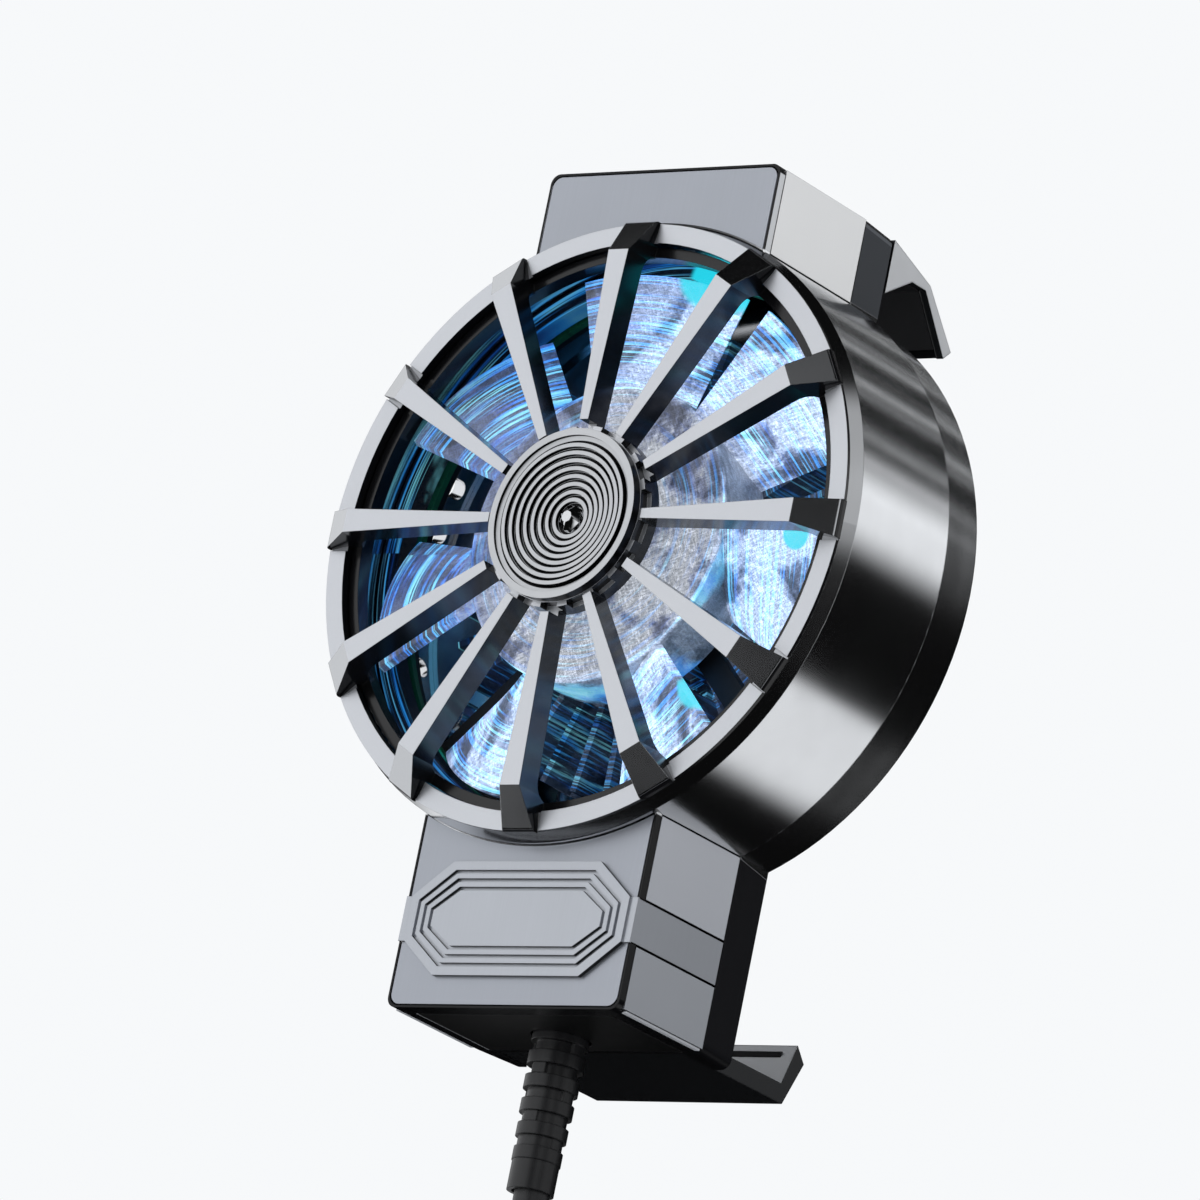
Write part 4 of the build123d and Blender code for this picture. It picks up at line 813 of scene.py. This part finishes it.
# %% Make the cord
line = bpy.data.curves.new("usb_cord", "CURVE")
line.dimensions = "3D"
line.bevel_depth = CORD_RADIUS * MM
line.bevel_resolution = CORD_SIDES
line.resolution_u = CORD_STEPS
line.use_fill_caps = True
spline = line.splines.new("NURBS")
spline.points.add(len(route) - 1)
for point, (x, y, z) in zip(spline.points, route):
    point.co = (x * MM, y * MM, z * MM, 1.0)
spline.order_u = CORD_ORDER
spline.use_endpoint_u = True
usb_cord = bpy.data.objects.new("usb_cord", line)
bpy.context.scene.collection.objects.link(usb_cord)
cord_skin = rubber("cord_skin", (0.012, 0.012, 0.013), rough=0.36, skin=3.0, strength=0.2)
line.materials.append(cord_skin.material)
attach(usb_cord, "housing")
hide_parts("cord", "cord_coil", "cord_tail")

# %% [markdown]
# ## The studio
#
# A pale floor lies well below, because the object is held up on a phone. The room and the floor
# are pale and even. Where the camera looks at the floor it glows a little, so that it stays pale
# under a lamp that is set for the object.

# %% Room, floor and key lamp
FLOOR_Z = -0.6
FLOOR_SIZE = 60.0
KEY_PLACE = (-0.5, -0.7, 0.5)
KEY_SIZE = 0.5
KEY_WATTS = 5.0
PALE = (0.86, 0.88, 0.9)
BACKDROP = (0.93, 0.945, 0.96)
FLOOR_SEEN = (0.985, 0.99, 1.0)
SEEN_SHARE = 0.85
ROOM_LIGHT = (0.5, 0.51, 0.53)

world = bpy.data.worlds.new("studio")
bpy.context.scene.world = world
room = Tree(world)
background_ray = room.ray("Is Camera Ray") + room.ray("Is Glossy Ray") + room.ray("Is Transmission Ray")
seen = room.mix(background_ray.between(0.0, 1.0), ROOM_LIGHT, BACKDROP)
background = room.node("ShaderNodeBackground", {}, {"Color": seen, "Strength": 1.0})
room.node("ShaderNodeOutputWorld", {}, {0: background})

bpy.ops.object.select_all(action="DESELECT")
bpy.ops.mesh.primitive_plane_add(size=FLOOR_SIZE, location=(0, 0, FLOOR_Z))
floor = bpy.context.object
floor.name = "floor"
floor.visible_glossy = False
floor_finish = Finish("floor_finish")
floor_tone = floor_finish.noise(floor_finish.where(), 0.002, 2.0)
floor_colour = floor_finish.mix(floor_tone, PALE, tuple(c * 0.98 for c in PALE))
floor_paint = floor_finish.node("ShaderNodeBsdfDiffuse", {}, {0: floor_colour})
floor_glow = floor_finish.node("ShaderNodeEmission", {}, {0: FLOOR_SEEN})
seen_share = floor_finish.ray("Is Camera Ray") * SEEN_SHARE
floor_mix = floor_finish.node("ShaderNodeMixShader", {}, {0: seen_share, 1: floor_paint, 2: floor_glow})
floor_finish.node("ShaderNodeOutputMaterial", {}, {0: floor_mix})
floor.data.materials.append(floor_finish.material)

key_data = bpy.data.lights.new("key", "AREA")
key_data.size = KEY_SIZE
key_data.energy = KEY_WATTS
key = bpy.data.objects.new("key", key_data)
bpy.context.scene.collection.objects.link(key)
key.location = KEY_PLACE
key.rotation_euler = (-key.location).to_track_quat("-Z", "Y").to_euler()
key.visible_glossy = False

# %% [markdown]
# ## What the chrome shows
#
# A photographer sets white boards and black flags round a chrome object, and the chrome shows
# them. Here they are drawn inside one large ball round the object, which only mirrors can see.
# A long white board stands in front and to the left, a narrow one behind on the right lights the
# side of the drum, another lies low behind, and thin slats hang above. Two grey boards further to
# the right light the satin panels when the object is seen from that side. The rest is nearly
# black.

# %% Boards and flags
BALL_RADIUS = 3.0
BALL_STEPS = 4
BOARD_TINT = (0.97, 0.985, 1.0)
FLAG_GREY = 0.004

bpy.ops.object.select_all(action="DESELECT")
bpy.ops.mesh.primitive_ico_sphere_add(subdivisions=BALL_STEPS, radius=BALL_RADIUS)
boards = bpy.context.object
boards.name = "boards"
boards.visible_camera = False
boards.visible_diffuse = False
boards.visible_transmission = False
boards.visible_shadow = False


def window(value, rise, top, fall, end):
    """1 from top to fall, and 0 before rise and after end."""
    return value.between(rise, top) * (1 - value.between(fall, end))


board_finish = Finish("board_finish")
normalize = {"operation": "NORMALIZE"}
direction = board_finish.node("ShaderNodeVectorMath", normalize, {0: board_finish.where()})
rightward, backward, upward = board_finish.parts(direction)
front_wall = window(upward, -0.6, -0.48, 0.67, 0.77) * (1 - rightward.between(0.15, 0.32))
front_wall = front_wall * (1 - backward.between(0.35, 0.55))
behind = window(backward, 0.3, 0.6, 0.78, 0.85)
back_strip = window(upward, 0.13, 0.31, 0.4, 0.56) * rightward.between(0.25, 0.4) * behind
low_strip = window(upward, -0.72, -0.64, -0.4, -0.34) * rightward.between(0.1, 0.25) * behind
around = board_finish.node("ShaderNodeMath", {"operation": "ARCTAN2"}, {0: upward, 1: rightward})
slats = board_finish.noise(board_finish.vector(around * 13.0, 0.0, 0.0), 1.0, 3.0, 0.7)
slats = slats.between(0.51, 0.58) * upward.between(0.3, 0.6) * backward.between(0.5, 0.65)
right_wall = rightward.between(0.5, 0.65) * upward.between(0.05, 0.3)
right_wall = right_wall * (1 - backward.between(0.1, 0.3))
end_board = rightward.between(0.8, 0.9) * backward.between(-0.1, 0.0)
end_board = end_board * window(upward, -0.6, -0.4, 0.5, 0.7)
side_board = rightward.between(0.6, 0.72) * (1 - backward.between(-0.5, -0.38))
grey = FLAG_GREY + front_wall * 0.95 + back_strip + low_strip * 0.9 + slats * 0.7
grey = grey + right_wall * 0.45 + (end_board + side_board) * 0.5
board_grey = board_finish.vector(grey, grey, grey)
board_colour = board_finish.mix(1.0, board_grey, BOARD_TINT, "MULTIPLY")
board_light = board_finish.node("ShaderNodeEmission", {}, {0: board_colour})
board_finish.node("ShaderNodeOutputMaterial", {}, {0: board_light})
boards.data.materials.append(board_finish.material)
print("studio ready")
